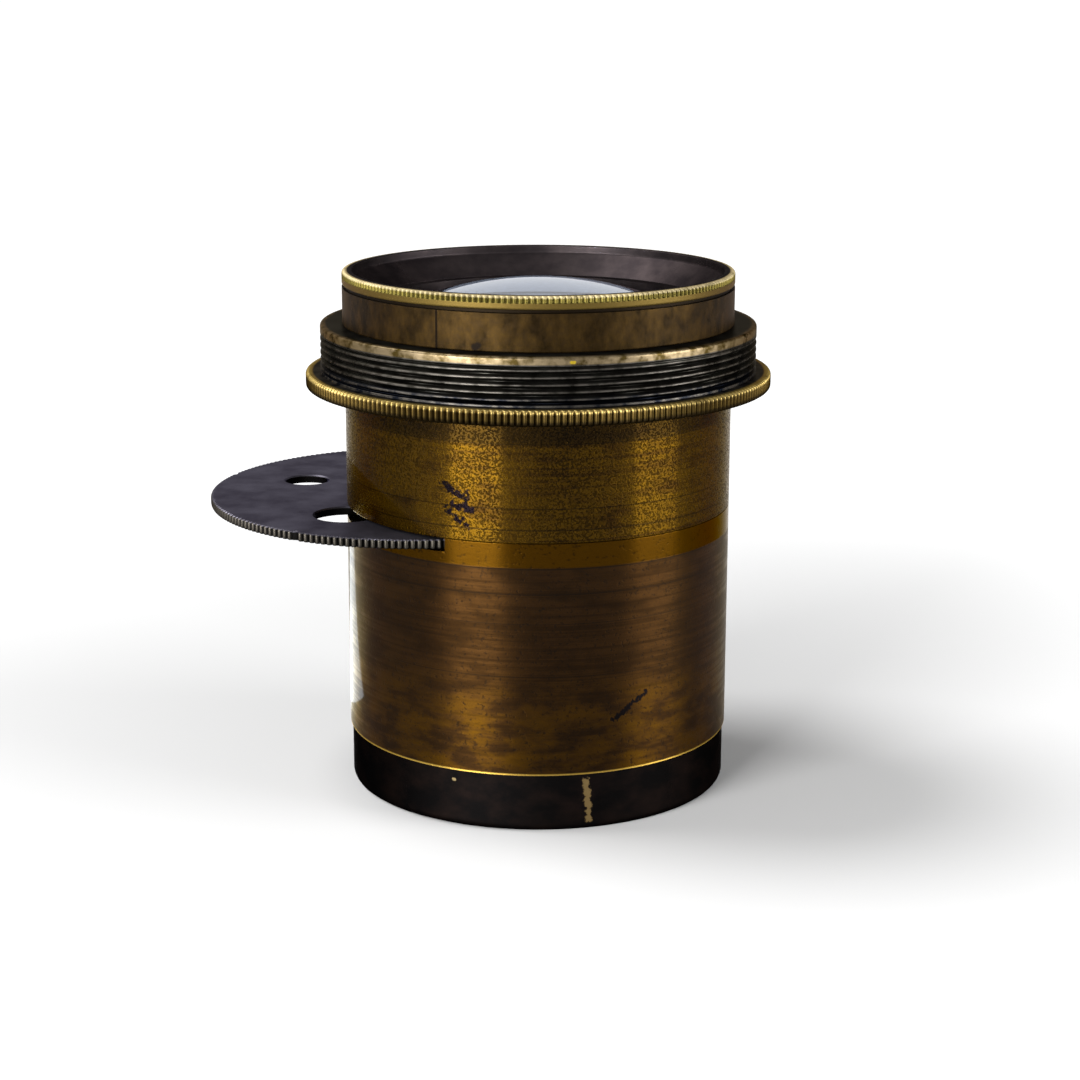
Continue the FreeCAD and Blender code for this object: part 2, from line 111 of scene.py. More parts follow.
def linear(colour: str) -> tuple[float, float, float, float]:
    """Turns an sRGB hex colour to linear light.

    Args:
        colour: six hex digits, such as "8a6a2c".

    Returns:
        Red, green, blue and an alpha of one.
    """
    parts = np.array([int(colour[place:place + 2], 16) for place in (0, 2, 4)]) / 255.0
    bright = np.where(parts <= 0.04045, parts / 12.92, ((parts + 0.055) / 1.055) ** 2.4)
    return (*bright.tolist(), 1.0)


def around(columns: int) -> np.ndarray:
    """Bearings in radians, evenly spaced over a full turn, whose last would be its first again."""
    return np.radians(np.linspace(0.0, 360.0, columns, endpoint=False))


def at_bearing(bearing: float, radius: float, height: float = 0.0) -> np.ndarray:
    """The point at a bearing in degrees, at a distance from the axis and a height."""
    turn = math.radians(bearing)
    return np.array([radius * math.sin(turn), -radius * math.cos(turn), height])


def swept(radius: np.ndarray, height: np.ndarray, bearings: np.ndarray) -> np.ndarray:
    """Carries a profile round the axis: x = r sin b, y = -r cos b, z = h.

    Args:
        radius: one radius for each row, or rows x columns of them.
        height: one height for each row, or rows x columns of them.
        bearings: the columns' bearings in radians.

    Returns:
        Points as rows x columns x 3.
    """
    shape = (len(radius), len(bearings))
    radius = np.broadcast_to(radius if radius.ndim == 2 else radius[:, None], shape)
    height = np.broadcast_to(height if height.ndim == 2 else height[:, None], shape)
    return np.stack([radius * np.sin(bearings), -radius * np.cos(bearings), height], axis=-1)


def rounded(corners: list[tuple[float, float, float]], steps: int = 5) -> np.ndarray:
    """Rounds the corners of a profile.

    Each corner C with a rounding f becomes the curve (1-t)^2 A + 2t(1-t) C + t^2 B, where A and B
    lie f before and after it. A point 0.3 f outside each end keeps the flats flat in the shading.

    Args:
        corners: radius, height and rounding of each corner; the first and last stay as they are.
        steps: points on each rounding.

    Returns:
        The profile as points of radius and height.
    """
    places = np.array([corner[:2] for corner in corners], float)
    runs = [places[:1]]
    for index in range(1, len(corners) - 1):
        size = corners[index][2]
        if size <= 0:
            runs.append(places[index:index + 1])
            continue
        here = places[index]
        back = places[index - 1] - here
        ahead = places[index + 1] - here
        back /= np.linalg.norm(back)
        ahead /= np.linalg.norm(ahead)
        t = np.linspace(0.0, 1.0, steps)[:, None]
        curve = (1 - t) ** 2 * (here + back * size) + 2 * t * (1 - t) * here + t ** 2 * (here + ahead * size)
        runs.append(np.concatenate([[here + back * size * 1.3], curve, [here + ahead * size * 1.3]]))
    runs.append(places[-1:])
    return np.concatenate(runs)


def eased(amount: np.ndarray) -> np.ndarray:
    """Smooth step: 3a^2 - 2a^3 with a held between 0 and 1."""
    held = np.clip(amount, 0.0, 1.0)
    return held * held * (3 - 2 * held)


def scallop(turns: np.ndarray) -> np.ndarray:
    """Depth of a knurl from 0 on its rounded crests to 1 in its sharp valleys.

    With d the distance from the nearest crest in half teeth, the depth is 1 - cos(90 d).

    Args:
        turns: place along the knurl in teeth.

    Returns:
        The depths.
    """
    share = np.mod(turns, 1.0)
    distance = 2.0 * np.minimum(share, 1.0 - share)
    return 1.0 - np.cos(0.5 * np.pi * distance)


@dataclass
class Band:
    """A strip of a skin: a grid of points in mm, and the seat of the material on it."""

    points: np.ndarray
    seat: Seat = Seat.OUTSIDE


def knurled(ridge: np.ndarray, teeth: int, deepest: float) -> np.ndarray:
    """A knurl cut into a turned ridge.

    Args:
        ridge: radius and height of each point, and how much of the cut reaches it.
        teeth: teeth in a full turn.
        deepest: depth of the cut in mm.

    Returns:
        Points as rows x columns x 3.
    """
    bearings = around(teeth * COLUMNS_PER_TOOTH)
    depth = deepest * ridge[:, 2:] * scallop(bearings * teeth / (2 * np.pi))
    return swept(ridge[:, :1] - depth, ridge[:, 1], bearings)


def lathe(profile: np.ndarray, columns: int, seat: Seat = Seat.OUTSIDE) -> Band:
    """A band turned all round from a profile's points of radius and height."""
    return Band(swept(profile[:, 0], profile[:, 1], around(columns)), seat)


@dataclass
class Skin:
    """The outside of a piece, made of bands that follow each other along its profile."""

    bands: list[Band]
    closed: bool = True
    full_turn: bool = True

    def build(self) -> tuple[np.ndarray, list[list[int]], np.ndarray]:
        """Works out the points and faces of all bands and of the joints between them.

        Returns:
            Points, faces as lists of point numbers, and the material seat of each face.
        """
        points = np.concatenate([band.points.reshape(-1, 3) for band in self.bands])
        faces: list[list[int]] = []
        seats: list[int] = []
        grids = []
        start = 0
        for band in self.bands:
            size = band.points[..., 0].size
            grids.append(start + np.arange(size).reshape(band.points.shape[:2]))
            start += size
        for number, grid in enumerate(grids):
            rows = [(grid[row], grid[row + 1]) for row in range(len(grid) - 1)]
            follower = (number + 1) % len(grids)
            if self.closed or follower:
                rows.append((grid[-1], grids[follower][0]))
            for lower, upper in rows:
                made = self.joined(lower, upper)
                faces.extend(made)
                seats.extend([self.bands[number].seat.value] * len(made))
        return points, faces, np.array(seats)

    def joined(self, lower: np.ndarray, upper: np.ndarray) -> list[list[int]]:
        """Faces between two rows of points, with fans where one row has more points.

        Args:
            lower: point numbers of the first row.
            upper: point numbers of the next row along the profile.

        Returns:
            The faces, which point away from the metal where the profile runs anticlockwise.
        """
        ahead_low, ahead_high = np.roll(lower, -1), np.roll(upper, -1)
        if len(lower) == len(upper):
            quads = np.stack([lower, ahead_low, ahead_high, upper], axis=1)
            return (quads if self.full_turn else quads[:-1]).tolist()
        fine_is_low = len(lower) > len(upper)
        fine, coarse = (lower, upper) if fine_is_low else (upper, lower)
        ratio = len(fine) // len(coarse)
        near = np.repeat(coarse, ratio).reshape(-1, ratio)
        far = np.repeat(np.roll(coarse, -1), ratio).reshape(-1, ratio)
        tip = np.where(np.arange(ratio) < ratio // 2, near, far).ravel()
        middle = fine.reshape(-1, ratio)[:, ratio // 2]
        if fine_is_low:
            fans = np.stack([fine, np.roll(fine, -1), tip], axis=1)
            bridges = np.stack([middle, np.roll(coarse, -1), coarse], axis=1)
        else:
            fans = np.stack([tip, np.roll(fine, -1), fine], axis=1)
            bridges = np.stack([coarse, np.roll(coarse, -1), middle], axis=1)
        return fans.tolist() + bridges.tolist()


def placed(name: str, data: bpy.types.ID, matrix: Matrix = Matrix()) -> bpy.types.Object:
    """Puts an object into the scene.

    Args:
        name: its name.
        data: its mesh, lamp or camera.
        matrix: where it stands.

    Returns:
        The object.
    """
    item = bpy.data.objects.new(name, data)
    item.matrix_world = matrix
    bpy.context.scene.collection.objects.link(item)
    return item


def piece_from(
    name: str,
    skins: list[tuple[np.ndarray, list[list[int]], np.ndarray]],
    sharp: float = 38.0,
) -> bpy.types.Object:
    """Makes one object from built skins, with doubles merged and faces without area dropped.

    Args:
        name: the piece's name.
        skins: points in mm, faces and material seats of each skin.
        sharp: edges that turn by more degrees than this stay crisp.

    Returns:
        The new object, at the origin, with its place in its mesh.
    """
    points, faces, seats, first = [], [], [], 0
    for some_points, some_faces, some_seats in skins:
        points.append(some_points)
        faces.extend([[first + corner for corner in face] for face in some_faces])
        seats.append(some_seats)
        first += len(some_points)
    mesh = bpy.data.meshes.new(name)
    mesh.from_pydata((np.concatenate(points) * MM).tolist(), [], faces)
    mesh.polygons.foreach_set("material_index", np.concatenate(seats).astype(np.int32))
    work = bmesh.new()
    work.from_mesh(mesh)
    bmesh.ops.remove_doubles(work, verts=work.verts, dist=MERGE)
    work.to_mesh(mesh)
    work.free()
    mesh.polygons.foreach_set("use_smooth", np.ones(len(mesh.polygons), bool))
    mesh.set_sharp_from_angle(angle=math.radians(sharp))
    mesh.update()
    return placed(name, mesh)


def turned_piece(name: str, *bands: Band) -> bpy.types.Object:
    """Makes one object from the bands of one skin, whose end joins up with its start."""
    return piece_from(name, [Skin(list(bands)).build()])


def soften(piece: bpy.types.Object, width: float) -> None:
    """Breaks the sharp edges of a piece as the file does on turned work.

    Args:
        piece: the piece.
        width: how far the bevel reaches from the edge, in mm.
    """
    bevel = piece.modifiers.new("broken_edges", "BEVEL")
    bevel.width = width * MM
    bevel.segments = 2
    bevel.limit_method = "ANGLE"
    bevel.angle_limit = math.radians(50.0)
    bevel.use_clamp_overlap = True
    bevel.harden_normals = True


def seat_piece(
    piece: bpy.types.Object,
    node: str,
    materials: list[bpy.types.Material],
    body: str = LENS_BODY,
) -> None:
    """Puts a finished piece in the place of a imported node.

    Args:
        piece: the new piece.
        node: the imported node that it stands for.
        materials: one for each seat that the piece uses.
        body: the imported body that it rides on.
    """
    for material in materials:
        piece.data.materials.append(material)
    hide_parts(node)
    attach(piece, body)
    LOG.info("%s: %d faces, stands for %s", piece.name, len(piece.data.polygons), node)


Socket = bpy.types.NodeSocket
# Where a mask starts to rise and where it is full, as heights or radii in mm
Reach = tuple[float, float]


@dataclass(frozen=True)
class Stroke:
    """A scratch, stain or speck on the barrel's wall: a ragged line between two places.

    A place is a bearing in degrees and a height in mm. The width is half the stroke's own, and
    ragged says how far a fine noise moves its edge, both in mm.
    """

    start: tuple[float, float]
    end: tuple[float, float]
    width: float
    ragged: float


@dataclass
class Bench:
    """The node tree of a finish, with the patterns that age and tooling leave on metal."""

    name: str
    owner: bpy.types.Material | bpy.types.World | None = None

    def __post_init__(self) -> None:
        """Empties the owner's tree, and fixes its patterns to the piece's own coordinates."""
        self.owner = self.owner or bpy.data.materials.new(self.name)
        self.owner.use_nodes = True
        self.tree = self.owner.node_tree
        self.tree.nodes.clear()
        self.place = self.add("TexCoord", {}).node.outputs["Object"]
        self.x, self.y, self.z = self.add("SeparateXYZ", {0: self.place}).node.outputs

    def add(
        self,
        kind: str,
        inputs: dict,
        stops: tuple[tuple[float, str], ...] = (),
        **settings: object,
    ) -> Socket | None:
        """Adds one shader node with its settings, values and links.

        Args:
            kind: the node's type, without the ShaderNode that each type starts with.
            inputs: input name or number to a value, an sRGB hex colour or the socket that feeds it.
            stops: for a colour ramp, each stop's position and sRGB hex colour.
            settings: the node's own properties.

        Returns:
            The first output that is in use with these settings, or none.
        """
        node = self.tree.nodes.new("ShaderNode" + kind)
        for name, value in settings.items():
            setattr(node, name, value)
        for name, value in inputs.items():
            if isinstance(value, Socket):
                self.tree.links.new(value, node.inputs[name])
            else:
                node.inputs[name].default_value = linear(value) if isinstance(value, str) else value
        for number, (position, colour) in enumerate(stops):
            stop = node.color_ramp.elements[number]
            stop.position, stop.color = position, linear(colour)
        return next((output for output in node.outputs if output.enabled), None)

    def share(self, first: Socket, second: Socket | float) -> Socket:
        """The product of two masks, or a part of one."""
        return self.add("Math", {0: first, 1: second}, operation="MULTIPLY", use_clamp=True)

    def grown(self, centre: tuple[float, float] = (0.0, 0.0)) -> Socket:
        """Distance from an upright axis.

        Args:
            centre: where the axis stands, in mm.

        Returns:
            The distance in metres.
        """
        axis = (centre[0] * MM, centre[1] * MM, 0.0)
        moved = self.add("VectorMath", {0: self.place, 1: axis}, operation="SUBTRACT")
        flat = self.add("VectorMath", {0: moved, 1: (1.0, 1.0, 0.0)}, operation="MULTIPLY")
        return self.add("VectorMath", {0: flat}, operation="LENGTH")

    def step(self, value: Socket, reach: Reach) -> Socket:
        """0 before the reach and 1 past it, in mm, for a value in metres; eased between."""
        span = {"Value": value, "From Min": reach[0] * MM, "From Max": reach[1] * MM}
        return self.add("MapRange", span, interpolation_type="SMOOTHSTEP")

    def ring(self, height: float, width: float) -> Socket:
        """A thin ring round the barrel.

        Args:
            height: its height in mm.
            width: half its width in mm.

        Returns:
            1 on the ring and 0 off it.
        """
        away = self.add("Math", {0: self.z, 1: height * MM}, operation="SUBTRACT")
        far = self.add("Math", {0: away}, operation="ABSOLUTE")
        return self.step(far, (width, width * RING_CORE))

    def contrast(self, value: Socket, low: float, high: float) -> Socket:
        """A pattern from 0 to 1 stretched so that low becomes 0 and high becomes 1."""
        return self.add("MapRange", {"Value": value, "From Min": low, "From Max": high})

    def blotches(self, size: float, flat: float = 1.0, detail: float = 4.0, seed: float = 0.0) -> Socket:
        """Soft blotches.

        Args:
            size: width of a blotch in mm.
            flat: how many times wider than tall it is.
            detail: how many finer layers it has.
            seed: moves the pattern, in blotches.

        Returns:
            A value about 0.5.
        """
        per_metre = 1.0 / (size * MM)
        mapped = self.add("Mapping", {
            "Vector": self.place, "Location": (seed, -seed, 2.7 * seed),
            "Scale": (per_metre, per_metre, per_metre * flat)})
        return self.add("TexNoise", {"Vector": mapped, "Scale": 1.0, "Detail": detail, "Roughness": 0.6})

    def mark(self, stroke: Stroke) -> Socket:
        """The mask of a stroke.

        With p the place as (bearing x radius, height), its distance from the line start-end is
        |p - a - clamp((p-a).(b-a) / |b-a|^2) (b-a)|, and the mask falls off over the width.

        Args:
            stroke: the stroke.

        Returns:
            1 on the stroke and 0 off it.
        """
        per_degree = math.radians(1.0) * BARREL_R
        a = np.array([stroke.start[0] * per_degree, stroke.start[1]]) * MM
        b = np.array([stroke.end[0] * per_degree, stroke.end[1]]) * MM
        run = b - a
        length = float(run @ run)
        turned = self.add("Math", {0: self.y, 1: -1.0}, operation="MULTIPLY")
        bearing = self.add("Math", {0: self.x, 1: turned}, operation="ARCTAN2")
        across = self.add("Math", {0: bearing, 1: BARREL_R * MM}, operation="MULTIPLY")
        here = self.add("CombineXYZ", {0: across, 1: self.z})
        away = self.add("VectorMath", {0: here, 1: (a[0], a[1], 0.0)}, operation="SUBTRACT")
        per_run = (run[0] / length, run[1] / length, 0.0)
        passed = self.add("VectorMath", {0: away, 1: per_run}, operation="DOT_PRODUCT")
        held = self.add("Clamp", {0: passed})
        along = self.add("VectorMath", {0: (run[0], run[1], 0.0), "Scale": held}, operation="SCALE")
        distance = self.add("VectorMath", {0: away, 1: along}, operation="DISTANCE")
        noise = self.blotches(0.5, detail=3.0, seed=stroke.start[0])
        ragged = stroke.ragged * MM
        shift = self.add("Math", {0: noise, 1: ragged * 2.0, 2: -ragged}, operation="MULTIPLY_ADD")
        moved = self.add("Math", {0: distance, 1: shift}, operation="ADD")
        return self.add("MapRange", {
            "Value": moved, "From Min": stroke.width * STROKE_CORE * MM, "From Max": stroke.width * MM,
            "To Min": 1.0, "To Max": 0.0})

    def laid(self, below: Socket, *coats: tuple) -> Socket:
        """Lays colours one over another.

        Args:
            below: the colour at the bottom.
            coats: an sRGB hex colour each, then the masks whose product says where it shows.

        Returns:
            The colour on top.
        """
        for colour, mask, *others in coats:
            for other in others:
                mask = self.share(mask, other)
            below = self.add("Mix", {0: mask, 6: below, 7: colour}, data_type="RGBA")
        return below

    def blend(self, below: Socket | float, value: float, mask: Socket) -> Socket:
        """A plain value that takes over from another where the mask is 1."""
        return self.add("Mix", {0: mask, 2: below, 3: value})

    def ramp(self, value: Socket, low: str, high: str, end: float = 1.0) -> Socket:
        """A pattern turned to colours, from low at 0 to high at its end."""
        return self.add("ValToRGB", {0: value}, stops=((0.0, low), (end, high)))

    def bump(self, height: Socket, depth: float, **below: Socket) -> Socket:
        """A relief whose full range is a depth in mm, over another one given as its Normal."""
        return self.add("Bump", {"Height": height, "Distance": depth * MM, "Strength": 1.0} | below)

    def tooled(self, lines: Socket, pits: Socket) -> Socket:
        """The relief of turned metal: fine lines from the tool, and pits from age."""
        return self.bump(pits, -PIT_DEPTH, Normal=self.bump(lines, LINE_DEPTH))

    def seen(self) -> Socket:
        """Tells the rays that look at the background, straight or by way of metal and glass.

        Returns:
            1 for those rays and 0 for light on the lens.
        """
        ray = self.add("LightPath", {}).node.outputs
        mirrored = self.add("Math", {
            0: ray["Is Glossy Ray"], 1: ray["Is Transmission Ray"]}, operation="MAXIMUM")
        return self.add("Math", {0: ray["Is Camera Ray"], 1: mirrored}, operation="MAXIMUM")

    def finish(self, shader: dict, turned: bool = False) -> bpy.types.Material:
        """Closes the material with one shader, of metal where nothing else is said.

        Args:
            shader: the shader's values and feeding sockets.
            turned: whether fine lines round the axis spread the gloss up and down.

        Returns:
            The material.
        """
        if turned:
            lines = self.add("Tangent", {}, direction_type="RADIAL", axis="Z")
            shader |= {"Tangent": lines, "Anisotropic Rotation": QUARTER_TURN}
        gloss = self.add("BsdfPrincipled", {"Metallic": 1.0} | shader)
        self.add("OutputMaterial", {"Surface": gloss})
        return self.owner


@dataclass(frozen=True)
class GoldenBrass:
    """Turned brass whose lacquer has gone brown and thin.

    It gives the eye gold where a lamp shines in it and brown between, dull pits that speckle the
    shine, thin dark lines from the tool, painted shade in a band under the collar, and the dark scar.
    """

    brown: str = "1e1104"
    gold: str = "3a2804"
    pit: str = "0e0904"
    stain: str = "080507"
    edge: str = "c8bca6"
    roughness: float = 0.22
    pit_roughness: float = 0.7
    spread: float = 1.0
    coat: float = 0.06
    # Painted shade of the collar: the pit colour covers the wall from this reach up to the collar
    shade: Reach = (-5.0, -4.3)
    lines: tuple[tuple[float, float], ...] = ((-11.8, 0.10), (-14.2, 0.13), (-15.7, 0.10), (-4.6, 0.08))
    scar: tuple[Stroke, ...] = (
        Stroke((-27.0, -9.7), (-21.0, -10.6), 0.5, 1.5),
        Stroke((-25.0, -11.6), (-19.0, -12.2), 0.45, 1.5),
        Stroke((-26.5, -12.2), (-20.5, -13.9), 0.35, 1.5),
    )

    def make(self) -> bpy.types.Material:
        """Builds the finish of the upper barrel.

        Returns:
            The material.
        """
        bench = Bench("golden_turned_brass")
        cloud = bench.blotches(5.0, flat=2.0, detail=5.0, seed=3.0)
        rings = bench.blotches(40.0, flat=130.0, detail=3.0, seed=7.0)
        mixed = bench.share(bench.contrast(cloud, 0.25, 0.6), bench.contrast(rings, 0.2, 0.6))
        pits = bench.contrast(bench.blotches(0.24, detail=2.0, seed=1.0), 0.48, 0.56)
        base = bench.laid(
            bench.ramp(mixed, self.brown, self.gold, end=0.6),
            # painted shade under the collar, laid in the pit colour
            (self.pit, bench.step(bench.z, self.shade), 0.7),
            (self.pit, pits, 0.35),
            *((self.pit, bench.ring(height, width), 0.7) for height, width in self.lines),
            *((self.stain, bench.mark(stroke)) for stroke in self.scar))
        return bench.finish({
            "Base Color": base, "Specular Tint": self.edge,
            "Roughness": bench.blend(self.roughness, self.pit_roughness, pits),
            "Anisotropic": self.spread, "Coat Weight": self.coat, "Coat Roughness": 0.06,
            "Coat IOR": LACQUER_IOR, "Normal": bench.tooled(rings, pits)}, turned=True)


@dataclass(frozen=True)
class BrownLacquer:
    """Old brown lacquer over turned brass.

    It gives the eye a dull brown with fine lines round it, a golden band by the slot where
    fingers have polished it, gold that shows through low down, and one bare bright line.
    """

    brown: str = "180d03"
    light: str = "251606"
    gold: str = "332002"
    polish: str = "332003"
    pit: str = "120b05"
    scratch: str = "060405"
    bare: str = "967a35"
    edge: str = "c8bca6"
    dull: float = 0.5
    smooth: float = 0.37
    polished_roughness: float = 0.22
    spread: float = 0.85
    coat: float = 0.12
    metal: float = 0.93
    band: Reach = (-18.6, -18.35)
    low: Reach = (-29.0, -38.0)
    foot: Reach = (-42.3, -42.5)
    lines: tuple[tuple[float, float], ...] = ((-18.6, 0.12), (-21.5, 0.09), (-24.9, 0.06), (-31.0, 0.06))
    scratches: tuple[Stroke, ...] = (
        Stroke((22.4, -36.4), (27.0, -35.2), 0.35, 0.8),
        Stroke((27.5, -34.9), (32.8, -33.9), 0.3, 0.8),
    )

    def make(self) -> bpy.types.Material:
        """Builds the finish of the lower barrel.

        Returns:
            The material.
        """
        bench = Bench("brown_lacquered_brass")
        cloud = bench.blotches(5.5, flat=2.5, detail=5.0, seed=11.0)
        rings = bench.blotches(40.0, flat=120.0, detail=3.0, seed=5.0)
        mixed = bench.share(bench.contrast(cloud, 0.3, 0.65), bench.contrast(rings, 0.25, 0.65))
        pits = bench.contrast(bench.blotches(0.4, detail=2.0, seed=2.0), 0.58, 0.68)
        polished = bench.step(bench.z, self.band)
        base = bench.laid(
            bench.ramp(mixed, self.brown, self.light, end=0.6),
            (self.polish, polished),
            (self.gold, bench.step(bench.z, self.low), bench.contrast(cloud, 0.42, 0.62)),
            (self.pit, pits, 0.7),
            *((self.pit, bench.ring(height, width), 0.8) for height, width in self.lines),
            *((self.scratch, bench.mark(stroke)) for stroke in self.scratches),
            (self.bare, bench.step(bench.z, self.foot)))
        rough = bench.blend(self.dull, self.smooth, bench.contrast(mixed, 0.2, 0.7))
        return bench.finish({
            "Base Color": base, "Metallic": bench.blend(self.metal, 1.0, polished),
            "Roughness": bench.blend(rough, self.polished_roughness, polished),
            "Anisotropic": self.spread, "Specular IOR Level": 0.15, "Specular Tint": self.edge,
            "Coat Weight": bench.blend(self.coat, 0.0, polished), "Coat Roughness": 0.05,
            "Coat IOR": LACQUER_IOR, "Normal": bench.tooled(rings, pits)}, turned=True)


@dataclass(frozen=True)
class DullBrass:
    """Brass left without lacquer, gone dull in blotches.

    It gives the eye a soft brown wall with an upright seam and a dark spot, a dark groove, a smooth
    bead, and a knurl whose upper edge is yellow, partly from wear and partly a painted highlight.
    """

    brown: str = "100a03"
    light: str = "2a1e0b"
    speck: str = "1d150b"
    seam: str = "060403"
    # A small dark spot painted on the wall
    dark_spot: str = "080605"
    bead: str = "423618"
    # Yellow for the knurl's upper edge: partly wear, partly a painted highlight
    crest: str = "a19471"
    flank: str = "453e1b"
    # A darker brown painted in the groove
    groove_dark: str = "0e0a06"
    edge: str = "a89070"
    roughness: float = 0.5
    metal: float = 0.75
    bead_foot: Reach = (10.05, 10.15)
    knurl_foot: Reach = (10.78, 10.86)
    # Heights and radii of the knurl's upper edge that gets the yellow painted highlight and wear
    crest_z: Reach = (11.25, 11.5)
    crest_r: Reach = (22.1, 22.5)
    groove_foot: Reach = (9.68, 9.76)
    groove_top: Reach = (10.12, 10.06)
    seam_line: Stroke = Stroke((-29.0, 5.6), (-29.0, 9.8), 0.16, 0.05)
    dark_spot_mark: Stroke = Stroke((-17.4, 6.0), (-16.6, 6.1), 0.5, 0.3)

    def make(self) -> bpy.types.Material:
        """Builds the finish of the rear cell.

        Returns:
            The material.
        """
        bench = Bench("dull_knurled_brass")
        z = bench.z
        cloud = bench.blotches(1.7, flat=0.6, detail=6.0, seed=21.0)
        fine = bench.contrast(bench.blotches(0.6, detail=3.0, seed=4.0), 0.4, 0.7)
        tips = bench.share(bench.step(z, self.crest_z), bench.step(bench.grown(), self.crest_r))
        base = bench.laid(
            bench.ramp(bench.contrast(cloud, 0.36, 0.64), self.brown, self.light),
            (self.speck, fine, 0.5),
            (self.seam, bench.mark(self.seam_line)),
            # a small dark spot painted on the wall
            (self.dark_spot, bench.mark(self.dark_spot_mark)),
            (self.bead, bench.step(z, self.bead_foot)),
            (self.flank, bench.step(z, self.knurl_foot)),
            # yellow on the knurl's upper edge: partly wear, partly a painted highlight
            (self.crest, tips, bench.contrast(cloud, 0.2, 0.5)),
            # a darker brown painted in the groove
            (self.groove_dark, bench.step(z, self.groove_foot), bench.step(z, self.groove_top)))
        return bench.finish({
            "Base Color": base, "Metallic": self.metal, "Roughness": self.roughness,
            "Specular IOR Level": 0.2, "Specular Tint": self.edge, "Normal": bench.bump(cloud, 0.03)})


@dataclass(frozen=True)
class WornRing:
    """Blackened brass worn by the flange and by fingers.

    It gives the eye a black ring that is bare on the lip and grey on the thread's crests, with
    bluish black painted on the thread's lowest turns. The collar's upper edge is yellow, partly from
    wear and partly a painted highlight, and its lower edge is darkened with painted shade.
    """

    black: str = "12100e"
    grey: str = "2e2d29"
    # Bluish black painted on the lowest turns of the thread, below about 1 mm
    deep: str = "0b0f18"
    lip: str = "302711"
    bare: str = "625642"
    speck: str = "8f7a20"
    crest: str = "3e3b37"
    flank: str = "2f2510"
    # Painted shade on the collar's lower edge
    foot: str = "1b150a"
    # Yellow on the collar's upper edge: partly wear, partly a painted highlight
    tip: str = "837143"
    edge: str = "8c8474"
    roughness: float = 0.42
    low_turns_z: Reach = (1.4, 0.6)
    crest_r: Reach = (25.25, 25.38)
    lip_z: Reach = (4.55, 4.7)
    lip_r: Reach = (24.6, 24.95)
    collar_r: Reach = (26.2, 26.5)
    foot_z: Reach = (-1.1, -1.4)
    tip_z: Reach = (-0.55, -0.1)
    bright_speck: Stroke = Stroke((8.1, 4.9), (8.7, 4.9), 0.22, 0.1)

    def make(self) -> bpy.types.Material:
        """Builds the finish of the mounting ring.

        Returns:
            The material.
        """
        bench = Bench("worn_blackened_ring")
        z, radius = bench.z, bench.grown()
        cloud = bench.blotches(2.5, detail=5.0, seed=31.0)
        patch = bench.contrast(bench.blotches(1.4, detail=5.0, seed=33.0), 0.38, 0.58)
        lip = bench.share(bench.step(z, self.lip_z), bench.step(radius, self.lip_r))
        collar = bench.step(radius, self.collar_r)
        base = bench.laid(
            bench.ramp(bench.contrast(cloud, 0.3, 0.7), self.black, self.grey),
            # bluish black painted on the thread's lowest turns
            (self.deep, bench.step(z, self.low_turns_z), 0.8),
            (self.crest, bench.step(radius, self.crest_r), patch),
            (self.lip, lip),
            (self.bare, lip, patch),
            (self.speck, bench.mark(self.bright_speck)),
            (self.flank, collar),
            # painted shade on the collar's lower edge
            (self.foot, bench.step(z, self.foot_z), collar),
            # yellow on the collar's upper edge: partly wear, partly a painted highlight
            (self.tip, bench.step(z, self.tip_z), collar, bench.contrast(cloud, 0.2, 0.5)))
        return bench.finish({
            "Base Color": base, "Roughness": self.roughness, "Specular Tint": self.edge,
            "Normal": bench.bump(cloud, 0.012)})


@dataclass(frozen=True)
class BlackenedBrass:
    """Brass blackened with acid.

    It gives the eye a soft near-black, brown where it has rubbed thin, and brighter where a
    stroke goes through to the brass. Each stroke comes with its colour and, where the colour
    doesn't show in full, with its share.
    """

    name: str
    black: str = "0a0909"
    thin: str = "16100e"
    edge: str = "1c1612"
    roughness: float = 0.48
    bare: tuple[tuple, ...] = ()

    def make(self) -> bpy.types.Material:
        """Builds the finish of the front band and of what lies inside the barrel.

        Returns:
            The material.
        """
        bench = Bench(self.name)
        cloud = bench.blotches(4.0, flat=1.5, detail=5.0, seed=41.0)
        base = bench.laid(
            bench.ramp(bench.contrast(cloud, 0.4, 0.75), self.black, self.thin),
            *((colour, bench.mark(stroke), *share) for colour, stroke, *share in self.bare))
        relief = bench.bump(bench.blotches(0.5, detail=3.0, seed=6.0), 0.008)
        return bench.finish({
            "Base Color": base, "Roughness": self.roughness, "Specular Tint": self.edge,
            "Normal": relief})


